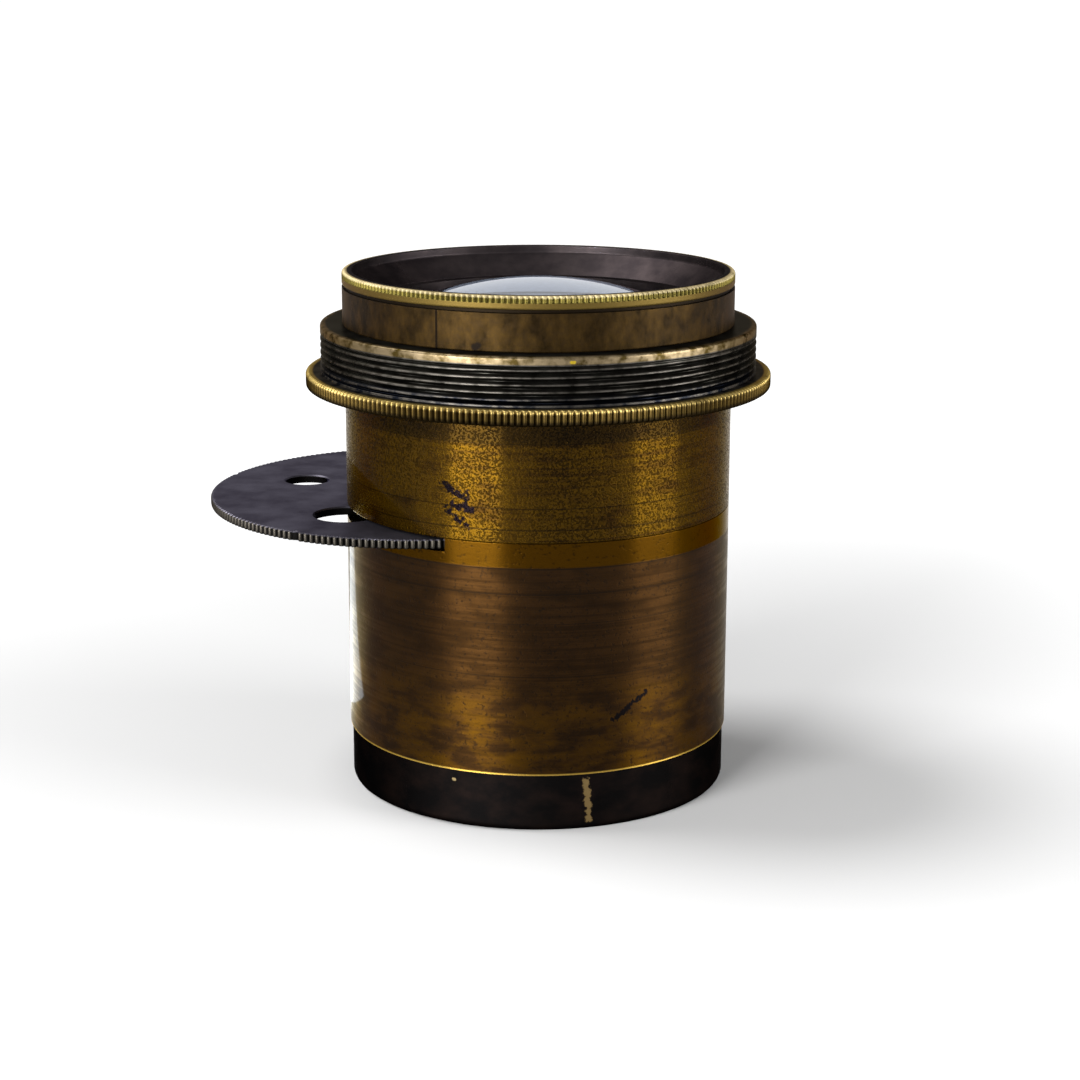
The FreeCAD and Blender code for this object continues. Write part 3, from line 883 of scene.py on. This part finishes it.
@dataclass(frozen=True)
class WheelBlack:
    """Blackened brass sheet, rubbed by its slot.

    It gives the eye a slate face with soft grey clouds, painted shade on its rim and underside, and
    lighter tooth tips, partly rubbed and partly painted glints. The tips are told by their distance
    from the centre, which is the wheel's own axis.
    """

    centre: tuple[float, float] = (-14.234, 5.040)
    black: str = "37353b"
    rubbed: str = "54525a"
    # Painted shade on the rim and underside
    side: str = "131211"
    # Tooth tips: partly rubbed, partly a painted glint
    tip: str = "34312c"
    edge: str = "a4a2a8"
    roughness: float = 0.45
    painted_shade_z: Reach = (-16.02, -16.1)
    tip_r: Reach = (24.92, 25.08)

    def make(self) -> bpy.types.Material:
        """Builds the finish of the stop wheel.

        Returns:
            The material.
        """
        bench = Bench("rubbed_black_wheel")
        cloud = bench.blotches(4.5, detail=5.0, seed=51.0)
        base = bench.laid(
            bench.ramp(bench.contrast(cloud, 0.3, 0.7), self.black, self.rubbed),
            # painted shade on the rim and underside, below the top face
            (self.side, bench.step(bench.z, self.painted_shade_z)),
            # lighter tooth tips: partly rubbed, partly painted glints
            (self.tip, bench.step(bench.grown(self.centre), self.tip_r)))
        relief = bench.bump(bench.blotches(0.4, detail=3.0, seed=9.0), 0.008)
        return bench.finish({
            "Base Color": base, "Roughness": self.roughness, "Specular Tint": self.edge,
            "Normal": relief})


@dataclass(frozen=True)
class LensGlass:
    """Polished flint glass.

    It gives the eye a cool, slightly darkened view through a clear surface with a few dust specks.
    """

    tint: str = "8f9bb0"
    ior: float = 1.62
    dust_roughness: float = 0.25

    def make(self) -> bpy.types.Material:
        """Builds the glass of both cemented pairs.

        Returns:
            The material.
        """
        bench = Bench("flint_glass")
        dust = bench.contrast(bench.blotches(0.5, detail=2.0, seed=61.0), 0.68, 0.75)
        return bench.finish({
            "Base Color": self.tint, "Metallic": 0.0,
            "Roughness": bench.share(dust, self.dust_roughness),
            "IOR": self.ior, "Transmission Weight": 1.0})


@dataclass(frozen=True)
class PlainMetal:
    """The metal of a small inner part, with a faint grain so that it doesn't look moulded."""

    name: str
    colour: str
    shade: str
    roughness: float = 0.35
    grain: float = 0.4

    def make(self) -> bpy.types.Material:
        """Builds the metal.

        Returns:
            The material.
        """
        bench = Bench(self.name)
        cloud = bench.blotches(self.grain, flat=2.0, detail=4.0, seed=71.0)
        base = bench.ramp(bench.contrast(cloud, 0.3, 0.7), self.shade, self.colour)
        return bench.finish({
            "Base Color": base, "Roughness": self.roughness, "Normal": bench.bump(cloud, 0.004)})


def cell_bore(end_radius: float, end_z: float, inward: float) -> list[tuple[float, float, float]]:
    """Inside of a cell from its open end to its inner end.

    Args:
        end_radius: the cell's outer radius at its open end.
        end_z: height of the open end.
        inward: -1 where the cell runs down from its open end and 1 where it runs up.

    Returns:
        Radius, height and rounding of each corner.
    """
    return [
        (end_radius - MOUTH_WALL, end_z, 0.12),
        (end_radius - MOUTH_WALL, end_z + inward * MOUTH_LENGTH, 0.15),
        (POCKET_R, end_z + inward * RETAINER_TOP_DEPTH, 0.1),
        (POCKET_R, end_z + inward * SEAT_DEPTH, 0.08),
        (CLEAR_R, end_z + inward * SEAT_DEPTH, 0.1),
        (CLEAR_R, end_z + inward * CELL_LENGTH, 0.1),
        (CELL_SPIGOT_R, end_z + inward * CELL_LENGTH, 0.1),
    ]


@dataclass
class RearCell:
    """The rear cell: a plain body, a groove, a smooth bead and a fine knurl round the mouth."""

    radius: float = 22.8
    groove_z: float = 9.75
    bead_z: float = 10.1
    knurl_z: float = 10.8
    groove: float = 0.35
    teeth: int = 220
    tooth_depth: float = 0.25
    columns: int = 440

    def build(self) -> bpy.types.Object:
        """Works out the skin: the knurl on a fine grid and the rest on a plain one.

        Returns:
            The piece.
        """
        top, r = REAR_END_Z, self.radius
        ridge = np.array([
            (r, self.knurl_z, 0.0), (r, self.knurl_z + 0.04, 0.35), (r, self.knurl_z + 0.09, 0.9),
            (r, self.knurl_z + 0.16, 1.0), (r, top - 0.34, 1.0), (r - 0.03, top - 0.2, 1.0),
            (r - 0.12, top - 0.08, 0.95), (r - 0.25, top - 0.02, 0.7), (r - 0.42, top, 0.25),
            (r - 0.52, top, 0.0),
        ])
        knurl = knurled(ridge, self.teeth, self.tooth_depth)
        inside = rounded([(r - 0.6, top, 0.0)] + cell_bore(r, top, -1.0) + [(CELL_SPIGOT_R, 0.0, 0.0)])
        outside = rounded([
            (CELL_SPIGOT_R, 0.4, 0.0), (CELL_SPIGOT_R, RING_TOP_Z, 0.05), (r, RING_TOP_Z, 0.12),
            (r, self.groove_z, 0.06), (r - self.groove, self.groove_z, 0.05),
            (r - self.groove, self.bead_z, 0.05), (r, self.bead_z, 0.22), (r, self.knurl_z - 0.03, 0.0),
        ])
        return turned_piece(
            "rear_cell_body", Band(knurl), lathe(inside, self.columns, Seat.INSIDE),
            lathe(outside, self.columns))


@dataclass
class FrontCell:
    """The front cell: a plain blackened band with a rounded end, where a push-on cap sits."""

    radius: float = 22.35
    edge: float = 0.8
    columns: int = 360

    def build(self) -> bpy.types.Object:
        """Works out the skin as one turned profile.

        Returns:
            The piece.
        """
        end, r = FRONT_END_Z, self.radius
        bore = cell_bore(r, end, 1.0)[::-1]
        inside = rounded([(CELL_SPIGOT_R, TUBE_FOOT_Z + 2.0, 0.0)] + bore + [(r - self.edge, end, 0.0)])
        outside = rounded([
            (r - self.edge - 0.05, end, 0.0), (r, end, self.edge), (r, TUBE_FOOT_Z, 0.1),
            (CELL_SPIGOT_R, TUBE_FOOT_Z, 0.05), (CELL_SPIGOT_R, TUBE_FOOT_Z + 1.9, 0.0)], steps=9)
        return turned_piece(
            "front_cell_body", lathe(inside, self.columns, Seat.INSIDE), lathe(outside, self.columns))


@dataclass
class MountRing:
    """The mounting ring: knurled collar, right-hand thread of 0.8 mm pitch, and plain lip."""

    collar_radius: float = 27.15
    thread_radius: float = 25.4
    bore_radius: float = 22.05
    pitch: float = 0.8
    thread_depth: float = 0.42
    thread_foot_z: float = 0.15
    thread_top_z: float = 4.5
    thread_rows: int = 78
    groove_share: float = 0.82
    run_in: float = 0.25
    run_out: float = 0.3
    lip_edge: float = 0.35
    teeth: int = 240
    tooth_depth: float = 0.3
    columns: int = 480

    def build(self) -> bpy.types.Object:
        """Works out the skin: knurl, thread, lip and bore, one after the other.

        Returns:
            The piece.
        """
        foot, r = COLLAR_FOOT_Z, self.collar_radius
        ridge = np.array([
            (r - 0.55, foot, 0.0), (r - 0.3, foot + 0.03, 0.35), (r - 0.12, foot + 0.1, 0.8),
            (r - 0.02, foot + 0.24, 1.0), (r, foot + 0.36, 1.0), (r, -0.36, 1.0), (r - 0.02, -0.24, 1.0),
            (r - 0.12, -0.1, 0.8), (r - 0.3, -0.03, 0.35), (r - 0.55, 0.0, 0.0),
        ])
        knurl = knurled(ridge, self.teeth, self.tooth_depth)
        crest, bore = self.thread_radius, self.bore_radius
        seat = rounded([(r - 0.65, 0.0, 0.0), (crest, 0.0, 0.06), (crest, 0.1, 0.0)])
        lip = rounded([
            (crest, self.thread_top_z + 0.06, 0.0), (crest, RING_TOP_Z, self.lip_edge),
            (bore, RING_TOP_Z, 0.1), (bore, foot, 0.1), (r - 0.6, foot, 0.0)], steps=7)
        return turned_piece(
            "mount_ring_body", Band(knurl), lathe(seat, self.columns),
            Band(self.thread(around(self.columns))), lathe(lip, self.columns))

    def thread(self, bearings: np.ndarray) -> np.ndarray:
        """The helical groove: its phase is h / pitch - b / 360, and it runs out at both ends.

        Args:
            bearings: the columns' bearings in radians.

        Returns:
            Points of the threaded wall.
        """
        foot, top = self.thread_foot_z, self.thread_top_z
        height = np.linspace(foot, top, self.thread_rows)[:, None]
        phase = np.mod(height / self.pitch - bearings / (2 * np.pi), 1.0)
        groove = np.clip(1.0 - np.abs(2.0 * phase - 1.0) / self.groove_share, 0.0, 1.0)
        ends = eased((height - foot) / self.run_in) * eased((top - height) / self.run_out)
        radius = self.thread_radius - self.thread_depth * groove * ends
        return swept(radius, height + 0.0 * bearings, bearings)


@dataclass
class RearTube:
    """The upper barrel tube, turned thin at its top to carry the mounting ring."""

    foot_edge: float = 0.15
    columns: int = 360

    def build(self) -> bpy.types.Object:
        """Works out the skin: the wall outside, the blackened bore inside.

        Returns:
            The piece.
        """
        mouth_r, mouth_z = SPIGOT_R + 0.05, SPIGOT_TOP_Z + 0.05
        outside = rounded([
            (mouth_r, JOINT_Z, 0.0), (BARREL_R, JOINT_Z, self.foot_edge), (BARREL_R, COLLAR_FOOT_Z, 0.05),
            (STEP_R, COLLAR_FOOT_Z, 0.05), (STEP_R, RING_TOP_Z, 0.05), (BORE_R + 0.1, RING_TOP_Z, 0.0)])
        inside = rounded([
            (BORE_R + 0.05, RING_TOP_Z, 0.0), (BORE_R, RING_TOP_Z - 0.05, 0.02), (BORE_R, mouth_z, 0.05),
            (mouth_r, mouth_z, 0.05), (mouth_r, JOINT_Z + 0.05, 0.0)])
        return turned_piece(
            "rear_tube_body", lathe(outside, self.columns), lathe(inside, self.columns, Seat.INSIDE))


class Stretch(Enum):
    """The parts of a turn that a strip of the front tube can cover."""

    SLOT = "slot"
    WALL = "wall"
    ALL = "all"


@dataclass
class FrontTube:
    """The lower barrel tube, with its slot for the wheel, the plate's ledge and the spigot."""

    columns: int = 180
    edge: float = 0.08

    def slot_reach(self, radius: np.ndarray) -> np.ndarray:
        """Half the angle of the slot at a radius r, in radians.

        The slot was cut by a disc of radius c on the wheel's axis, which lies at a distance o from
        the optical axis, so cos(angle) = (r^2 + o^2 - c^2) / (2 r o).

        Args:
            radius: radii in mm; inside the bore, the bore's own angle is kept.

        Returns:
            One angle for each radius.
        """
        r = np.maximum(radius, BORE_R)
        cutter = WHEEL_R + SLOT_CLEARANCE
        return np.arccos((r ** 2 + WHEEL_OFFSET ** 2 - cutter ** 2) / (2 * r * WHEEL_OFFSET))

    def strip(self, profile: np.ndarray, part: Stretch) -> np.ndarray:
        """Carries a profile round the axis, inside the slot's stretch, outside it, or all round.

        Args:
            profile: radius and height of each point.
            part: the stretch.

        Returns:
            Points as rows x columns x 3.
        """
        middle = math.radians(WHEEL_BEARING)
        reach = self.slot_reach(profile[:, 0])[:, None]
        share = np.linspace(0.0, 1.0, self.columns)[None, :]
        bearings = slot = middle - reach + 2 * reach * share
        if part is not Stretch.SLOT:
            bearings = middle + reach + (2 * np.pi - 2 * reach) * share
        if part is Stretch.ALL:
            bearings = np.concatenate([slot[:, :-1], bearings], axis=1)
        radius, height = profile[:, :1], profile[:, 1:]
        return np.stack([
            radius * np.sin(bearings), -radius * np.cos(bearings), height + 0.0 * bearings], axis=-1)

    def build(self) -> bpy.types.Object:
        """Works out the skin from open strips whose edges meet.

        The strips below and above the slot go all round. Between them, the wall is there outside
        the slot, and a floor and a ceiling inside it, with an upright wall at each of its ends.

        Returns:
            The piece.
        """
        low = [
            (BORE_R, PLATE_TOP_Z), (BORE_R, PLATE_Z), (LEDGE_R, PLATE_Z), (LEDGE_R, LEDGE_Z),
            (BORE_R, LEDGE_Z), (BORE_R, TUBE_FOOT_Z), (BARREL_R, TUBE_FOOT_Z), (BARREL_R, PLATE_TOP_Z)]
        floor = [(BARREL_R, PLATE_TOP_Z), (SPIGOT_R, PLATE_TOP_Z), (BORE_R, PLATE_TOP_Z)]
        strips = [
            (low[:6], Stretch.ALL, Seat.INSIDE),
            (low[5:], Stretch.ALL, Seat.OUTSIDE),
            ([(SPIGOT_R, JOINT_Z), (SPIGOT_R, SPIGOT_TOP_Z), (BORE_R, SPIGOT_TOP_Z), (BORE_R, JOINT_Z)],
             Stretch.ALL, Seat.INSIDE),
            ([(BARREL_R, PLATE_TOP_Z), (BARREL_R, JOINT_Z), (SPIGOT_R, JOINT_Z)],
             Stretch.WALL, Seat.OUTSIDE),
            ([(BORE_R, JOINT_Z), (BORE_R, PLATE_TOP_Z)], Stretch.WALL, Seat.INSIDE),
            (floor, Stretch.SLOT, Seat.OUTSIDE),
            ([(BORE_R, JOINT_Z), (SPIGOT_R, JOINT_Z)], Stretch.SLOT, Seat.INSIDE),
        ]
        skins = []
        for profile, part, seat in strips:
            band = Band(self.strip(np.array(profile), part), seat)
            skins.append(Skin([band], closed=False, full_turn=False).build())
        base = self.strip(np.array(floor), Stretch.SLOT)
        for column, order in ((0, (0, 1, 3, 2)), (-1, (2, 3, 1, 0))):
            foot = base[:, column]
            head = foot + (0.0, 0.0, JOINT_Z - PLATE_TOP_Z)
            points = np.stack([foot, head], axis=1).reshape(-1, 3)
            faces = [[start + corner for corner in order] for start in (0, 2)]
            skins.append((points, faces, np.full(2, Seat.OUTSIDE.value)))
        piece = piece_from("front_tube_body", skins)
        soften(piece, self.edge)
        return piece


@dataclass
class StopWheel:
    """The stop wheel: a black disc with a serrated edge and four bevelled apertures."""

    radius: float = WHEEL_R
    foot_z: float = -17.0
    top_z: float = -15.9
    teeth: int = 210
    tooth_depth: float = 0.3
    tooth_start: float = 0.5
    edge: float = 0.12
    bush_radius: float = 3.64
    bevel: float = 0.5
    lip: float = 0.2
    largest: float = 15.0
    ratio: float = 0.7071068
    bearings: tuple[float, ...] = (95.0, 0.0, 258.0, 179.0)
    working: float = 70.5
    notch_depth: float = 0.5
    notch_width: float = 1.2
    columns: int = 96

    def apertures(self) -> list[tuple[np.ndarray, float]]:
        """Centre and radius of each aperture, measured from the wheel's axis."""
        radii = [0.5 * self.largest * self.ratio ** number for number in range(len(self.bearings))]
        return [(at_bearing(self.working + b, WHEEL_OFFSET), r) for b, r in zip(self.bearings, radii)]

    def rim(self) -> np.ndarray:
        """The toothed edge, with a V notch of the click for each aperture.

        At a distance s along the rim from a notch, the cut is deep x (1 - s / half its width).

        Returns:
            Points as rows x columns x 3.
        """
        low, high, r, e = self.foot_z, self.top_z, self.radius, self.edge
        ridge = np.array([
            (r - 0.75, low, 0.0), (r - 0.35, low, 0.4), (r - e, low + 0.02, 0.9),
            (r - 0.02, low + e, 1.0), (r, low + 2 * e, 1.0), (r, high - 2 * e, 1.0),
            (r - 0.02, high - e, 1.0), (r - e, high - 0.02, 0.9), (r - 0.35, high, 0.4),
            (r - 0.75, high, 0.0),
        ])
        bearings = around(self.teeth * COLUMNS_PER_TOOTH)
        cut = self.tooth_depth * scallop(bearings * self.teeth / (2 * np.pi) + self.tooth_start)
        for bearing in self.bearings:
            away = np.mod(bearings - math.radians(self.working + bearing) + np.pi, 2 * np.pi) - np.pi
            notch = self.notch_depth * (1.0 - 2.0 * np.abs(away) * r / self.notch_width)
            cut = np.maximum(cut, notch)
        return swept(ridge[:, :1] - ridge[:, 2:] * cut, ridge[:, 1], bearings)

    def build(self) -> bpy.types.Object:
        """Works out the toothed rim, the walls of the holes, and the two flats between them.

        Returns:
            The piece.
        """
        low, high = self.foot_z, self.top_z
        rim = self.rim()
        skins = [Skin([Band(rim)], closed=False).build()]
        loops_low, loops_high = [rim[0]], [rim[-1]]
        plain = around(self.columns)
        thin = high - self.lip
        walls = [
            (centre, [
                (r + self.lip + 0.05, high, 0.0), (r + self.lip, high, 0.03), (r, thin, 0.03),
                (r + self.bevel, low, 0.05), (r + self.bevel + 0.1, low, 0.0)])
            for centre, r in self.apertures()
        ]
        bush = self.bush_radius
        walls.append((np.zeros(3), [
            (bush + 0.1, high, 0.0), (bush, high, 0.04), (bush, low, 0.04), (bush + 0.1, low, 0.0)]))
        for centre, corners in walls:
            wall = rounded(corners)
            ring = swept(wall[:, 0], wall[:, 1], plain) + centre
            skins.append(Skin([Band(ring)], closed=False).build())
            loops_high.append(ring[0])
            loops_low.append(ring[-1])
        centres = [centre for centre, _ in walls]
        skins.append(self.flat(loops_high, centres, up=True))
        skins.append(self.flat(loops_low, centres, up=False))
        axis = at_bearing(WHEEL_BEARING, WHEEL_OFFSET)
        skins = [(points + axis, faces, seats) for points, faces, seats in skins]
        return piece_from("stop_wheel_disc", skins)

    @staticmethod
    def flat(
        loops: list[np.ndarray],
        centres: list[np.ndarray],
        up: bool,
    ) -> tuple[np.ndarray, list[list[int]], np.ndarray]:
        """One face of the disc, laid in triangles between the rim and the holes.

        Args:
            loops: the rim's loop first, then one loop for each hole.
            centres: the middle of each hole.
            up: whether it faces up.

        Returns:
            Points, faces and seats.
        """
        points = np.concatenate(loops)
        starts = np.cumsum([0] + [len(loop) for loop in loops])
        edges = []
        for start, loop in zip(starts, loops):
            ring = start + np.arange(len(loop))
            edges.extend(np.stack([ring, np.roll(ring, -1)], axis=1).tolist())
        flat = [Vector(point[:2]) for point in points]
        made = delaunay_2d_cdt(flat, edges, [], 1, MERGE)
        laid = np.array([tuple(point) for point in made[0]])
        triangles = np.array(made[2])
        middles = laid[triangles].mean(axis=1)
        kept = np.ones(len(triangles), bool)
        for loop, centre in zip(loops[1:], centres):
            radius = np.hypot(*(loop[0, :2] - centre[:2]))
            kept &= np.hypot(*(middles - centre[:2]).T) > radius * 0.999
        a, b, c = laid[triangles].transpose(1, 0, 2)
        turn = (b - a)[:, 0] * (c - a)[:, 1] - (b - a)[:, 1] * (c - a)[:, 0]
        wrong = (turn > 0) != up
        triangles[wrong] = triangles[wrong][:, ::-1]
        whole = np.column_stack([laid, np.full(len(laid), points[0, 2])])
        faces = triangles[kept].tolist()
        return whole, faces, np.zeros(len(faces))


@dataclass
class GlassPair:
    """The two glasses of a cemented pair, which bulge towards the open end of their cell."""

    end_z: float
    inward: float
    side: str
    recess: float = 1.2
    outer_curve: float = 42.0
    inner_curve: float = 75.0
    columns: int = 160
    rows: int = 40

    def surface(self, curve: float, vertex: float) -> np.ndarray:
        """A polished face from axis to edge: depth = vertex + R - sqrt(R^2 - r^2).

        Args:
            curve: its radius of curvature.
            vertex: depth of its vertex below the open end.

        Returns:
            Radius and height of each point.
        """
        radius = np.linspace(0.0, GLASS_R, self.rows)
        depth = vertex + curve - np.sqrt(curve ** 2 - radius ** 2)
        return np.stack([radius, self.end_z + self.inward * depth], axis=1)

    def build(self) -> bpy.types.Object:
        """Makes the pair as one body of glass, since the cement joins both faces invisibly.

        Returns:
            The piece.
        """
        inner_sag = self.inner_curve - math.sqrt(self.inner_curve ** 2 - GLASS_R ** 2)
        outer = self.surface(self.outer_curve, self.recess)
        inner = self.surface(self.inner_curve, SEAT_DEPTH - inner_sag)
        profile = np.concatenate([outer, inner[::-1]])
        if self.inward < 0:
            profile = profile[::-1]
        skin = Skin([lathe(profile, self.columns)], closed=False)
        return piece_from(f"{self.side}_cemented_pair", [skin.build()], sharp=30.0)


@dataclass
class InnerWorks:
    """The small parts inside the barrel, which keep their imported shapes."""

    black: bpy.types.Material
    steel: bpy.types.Material
    brass: bpy.types.Material
    bronze: bpy.types.Material

    def dress(self) -> None:
        """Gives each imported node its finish."""
        for finish, nodes in (
            (self.black, ("front_retainer", "rear_retainer", "stop_plate")),
            (self.steel, ("stop_plate_screw_1", "stop_plate_screw_2", "stop_plate_screw_3",
                          "wheel_pivot", "click_spring_screw")),
            (self.brass, ("wheel_bush", "pivot_washer")),
            (self.bronze, ("click_spring",)),
        ):
            for node in nodes:
                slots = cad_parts[node].data.materials
                slots.clear()
                slots.append(finish)
                LOG.info("%s: keeps its packed shape, finish %s", node, finish.name)


@dataclass(frozen=True)
class Lamp:
    """A soft box, placed by its bearing round the lens and its height."""

    name: str
    bearing: float
    distance: float
    height: float
    width: float
    tall: float
    radiance: float
    colour: tuple[float, float, float] = (1.0, 1.0, 1.0)
    heading: float | None = None

    def light(self) -> None:
        """Hangs it facing the lens, or lays it face up along its heading.

        Its power is pi x area x radiance.
        """
        lamp = bpy.data.lights.new(self.name, "AREA")
        lamp.shape = "RECTANGLE"
        lamp.size, lamp.size_y = self.width, self.tall
        lamp.energy = math.pi * self.width * self.tall * self.radiance
        lamp.color = self.colour
        place = Vector(at_bearing(self.bearing, self.distance, self.height))
        aim = Vector((0.0, 0.0, LAMP_AIM_Z)) - place
        facing = aim.to_track_quat("-Z", "Y").to_matrix().to_4x4()
        if self.heading is not None:
            facing = Matrix.Rotation(math.radians(self.heading), 4, "Z") @ Matrix.Rotation(math.pi, 4, "X")
        placed(self.name, lamp, Matrix.Translation(place) @ facing).visible_camera = False


@dataclass
class Studio:
    """Floor, light and camera."""

    floor_z: float = FRONT_END_Z * MM
    floor_size: float = 12.0
    floor_white: float = 0.53
    glow_from: float = 0.045
    glow_to: float = 0.22
    far_glow: float = 0.56
    sky: float = 0.14
    sun: float = 3.0
    sun_bearing: float = -106.0
    sun_height: float = 56.0
    sun_width: float = 28.0
    eye: tuple[float, float, float] = (0.0, -0.27367, 0.04795)
    focal: float = 78.80
    sensor: float = 36.0
    clip: tuple[float, float] = (0.01, 50.0)
    yaw: float = 0.0009
    pitch: float = 0.2465
    roll: float = 0.0021

    def set_camera(self) -> None:
        """Stands the camera where the photograph was taken from."""
        camera = bpy.data.cameras.new("camera")
        camera.lens, camera.sensor_width = self.focal, self.sensor
        camera.sensor_fit = "HORIZONTAL"
        camera.clip_start, camera.clip_end = self.clip
        ahead = Vector((
            math.sin(self.yaw) * math.cos(self.pitch), math.cos(self.yaw) * math.cos(self.pitch),
            -math.sin(self.pitch)))
        right = Vector((math.cos(self.yaw), -math.sin(self.yaw), 0.0))
        up = right.cross(ahead)
        c, s = math.cos(self.roll), math.sin(self.roll)
        turn = Matrix((c * right + s * up, c * up - s * right, -ahead)).transposed().to_4x4()
        bpy.context.scene.camera = placed("camera", camera, Matrix.Translation(Vector(self.eye)) @ turn)

    def lay_floor(self) -> None:
        """Lays a plain white floor that keeps the lens's shadow."""
        half = self.floor_size
        mesh = bpy.data.meshes.new("floor")
        corners = [(-half, -half), (half, -half), (half, half), (-half, half)]
        mesh.from_pydata([(x, y, self.floor_z) for x, y in corners], [], [[0, 1, 2, 3]])
        paper = Bench("white_paper_floor")
        matt = paper.add("BsdfDiffuse", {"Color": (self.floor_white,) * 3 + (1.0,)})
        away = paper.add("VectorMath", {0: paper.place}, operation="LENGTH")
        level = paper.add("MapRange", {
            "Value": away, "From Min": self.glow_from, "From Max": self.glow_to,
            "To Min": 0.0, "To Max": self.far_glow}, interpolation_type="SMOOTHSTEP")
        share = paper.add("Math", {0: paper.seen(), 1: level}, operation="MULTIPLY")
        glow = paper.add("Emission", {"Strength": share})
        both = paper.add("AddShader", {0: matt, 1: glow})
        paper.add("OutputMaterial", {"Surface": both})
        mesh.materials.append(paper.owner)
        floor = placed("floor", mesh)

    def light(self) -> None:
        """Sets the white surround, which metal and glass show too, the key and the boxes."""
        bench = Bench("surround", bpy.data.worlds.new("surround"))
        strength = bench.add("MapRange", {"Value": bench.seen(), "To Min": self.sky, "To Max": 1.0})
        sky = bench.add("Background", {"Color": (1.0, 1.0, 1.0, 1.0), "Strength": strength})
        bench.add("OutputWorld", {"Surface": sky})
        bpy.context.scene.world = bench.owner
        key = bpy.data.lights.new("key", "SUN")
        key.energy, key.angle = self.sun, math.radians(self.sun_width)
        rise = math.radians(self.sun_height)
        source = Vector(at_bearing(self.sun_bearing, math.cos(rise), math.sin(rise)))
        placed("key", key, (-source).to_track_quat("-Z", "Y").to_matrix().to_4x4())
        for lamp in (
            Lamp("box_left", -36.0, 0.5, 0.05, 0.265, 0.18, 51.0),
            Lamp("box_right", 72.0, 0.5, 0.05, 0.27, 0.18, 28.5),
            Lamp("fill_left", -100.0, 0.5, 0.08, 0.70, 0.35, 0.7),
            Lamp("card_on_floor", -137.3, 0.0796, -0.0488, 0.026, 0.086, 11.0, (0.76, 0.87, 1.0), -153.7),
        ):
            lamp.light()


def main() -> None:
    """Builds, dresses and seats every piece, then lights the scene."""
    logging.basicConfig(level=logging.INFO, format="%(name)s: %(message)s")
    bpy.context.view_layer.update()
    black = BlackenedBrass("inner_black", "262223", "363030").make()
    golden, lacquer = GoldenBrass().make(), BrownLacquer().make()
    seat_piece(RearCell().build(), "rear_cell", [DullBrass().make(), black])
    seat_piece(MountRing().build(), "mount_ring", [WornRing().make()])
    seat_piece(RearTube().build(), "rear_tube", [golden, black])
    seat_piece(FrontTube().build(), "front_tube", [lacquer, black])
    band = BlackenedBrass("scratched_black_band", bare=(
        ("6a5838", Stroke((14.2, -43.4), (15.2, -48.0), 0.4, 0.7), 0.85),
        ("6a5c40", Stroke((-25.2, -43.8), (-24.8, -43.8), 0.22, 0.15)),
    )).make()
    seat_piece(FrontCell().build(), "front_cell", [band, black])
    seat_piece(StopWheel().build(), "stop_wheel", [WheelBlack().make()], WHEEL_BODY)
    flint = LensGlass().make()
    for pair in (GlassPair(FRONT_END_Z, 1.0, "front"), GlassPair(REAR_END_Z, -1.0, "rear")):
        glass = pair.build()
        seat_piece(glass, f"{pair.side}_outer_glass", [flint])
        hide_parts(f"{pair.side}_inner_glass")
    InnerWorks(
        black=black,
        steel=PlainMetal("blued_steel", "4a4c58", "2c2d36").make(),
        brass=PlainMetal("worn_inner_brass", "8a6d2c", "5c4518").make(),
        bronze=PlainMetal("rolled_bronze", "8a6238", "5f4020", grain=0.8).make(),
    ).dress()
    studio = Studio()
    studio.lay_floor()
    studio.light()
    studio.set_camera()
    bpy.context.scene.view_settings.view_transform = "Standard"


if __name__ == "__main__":
    main()
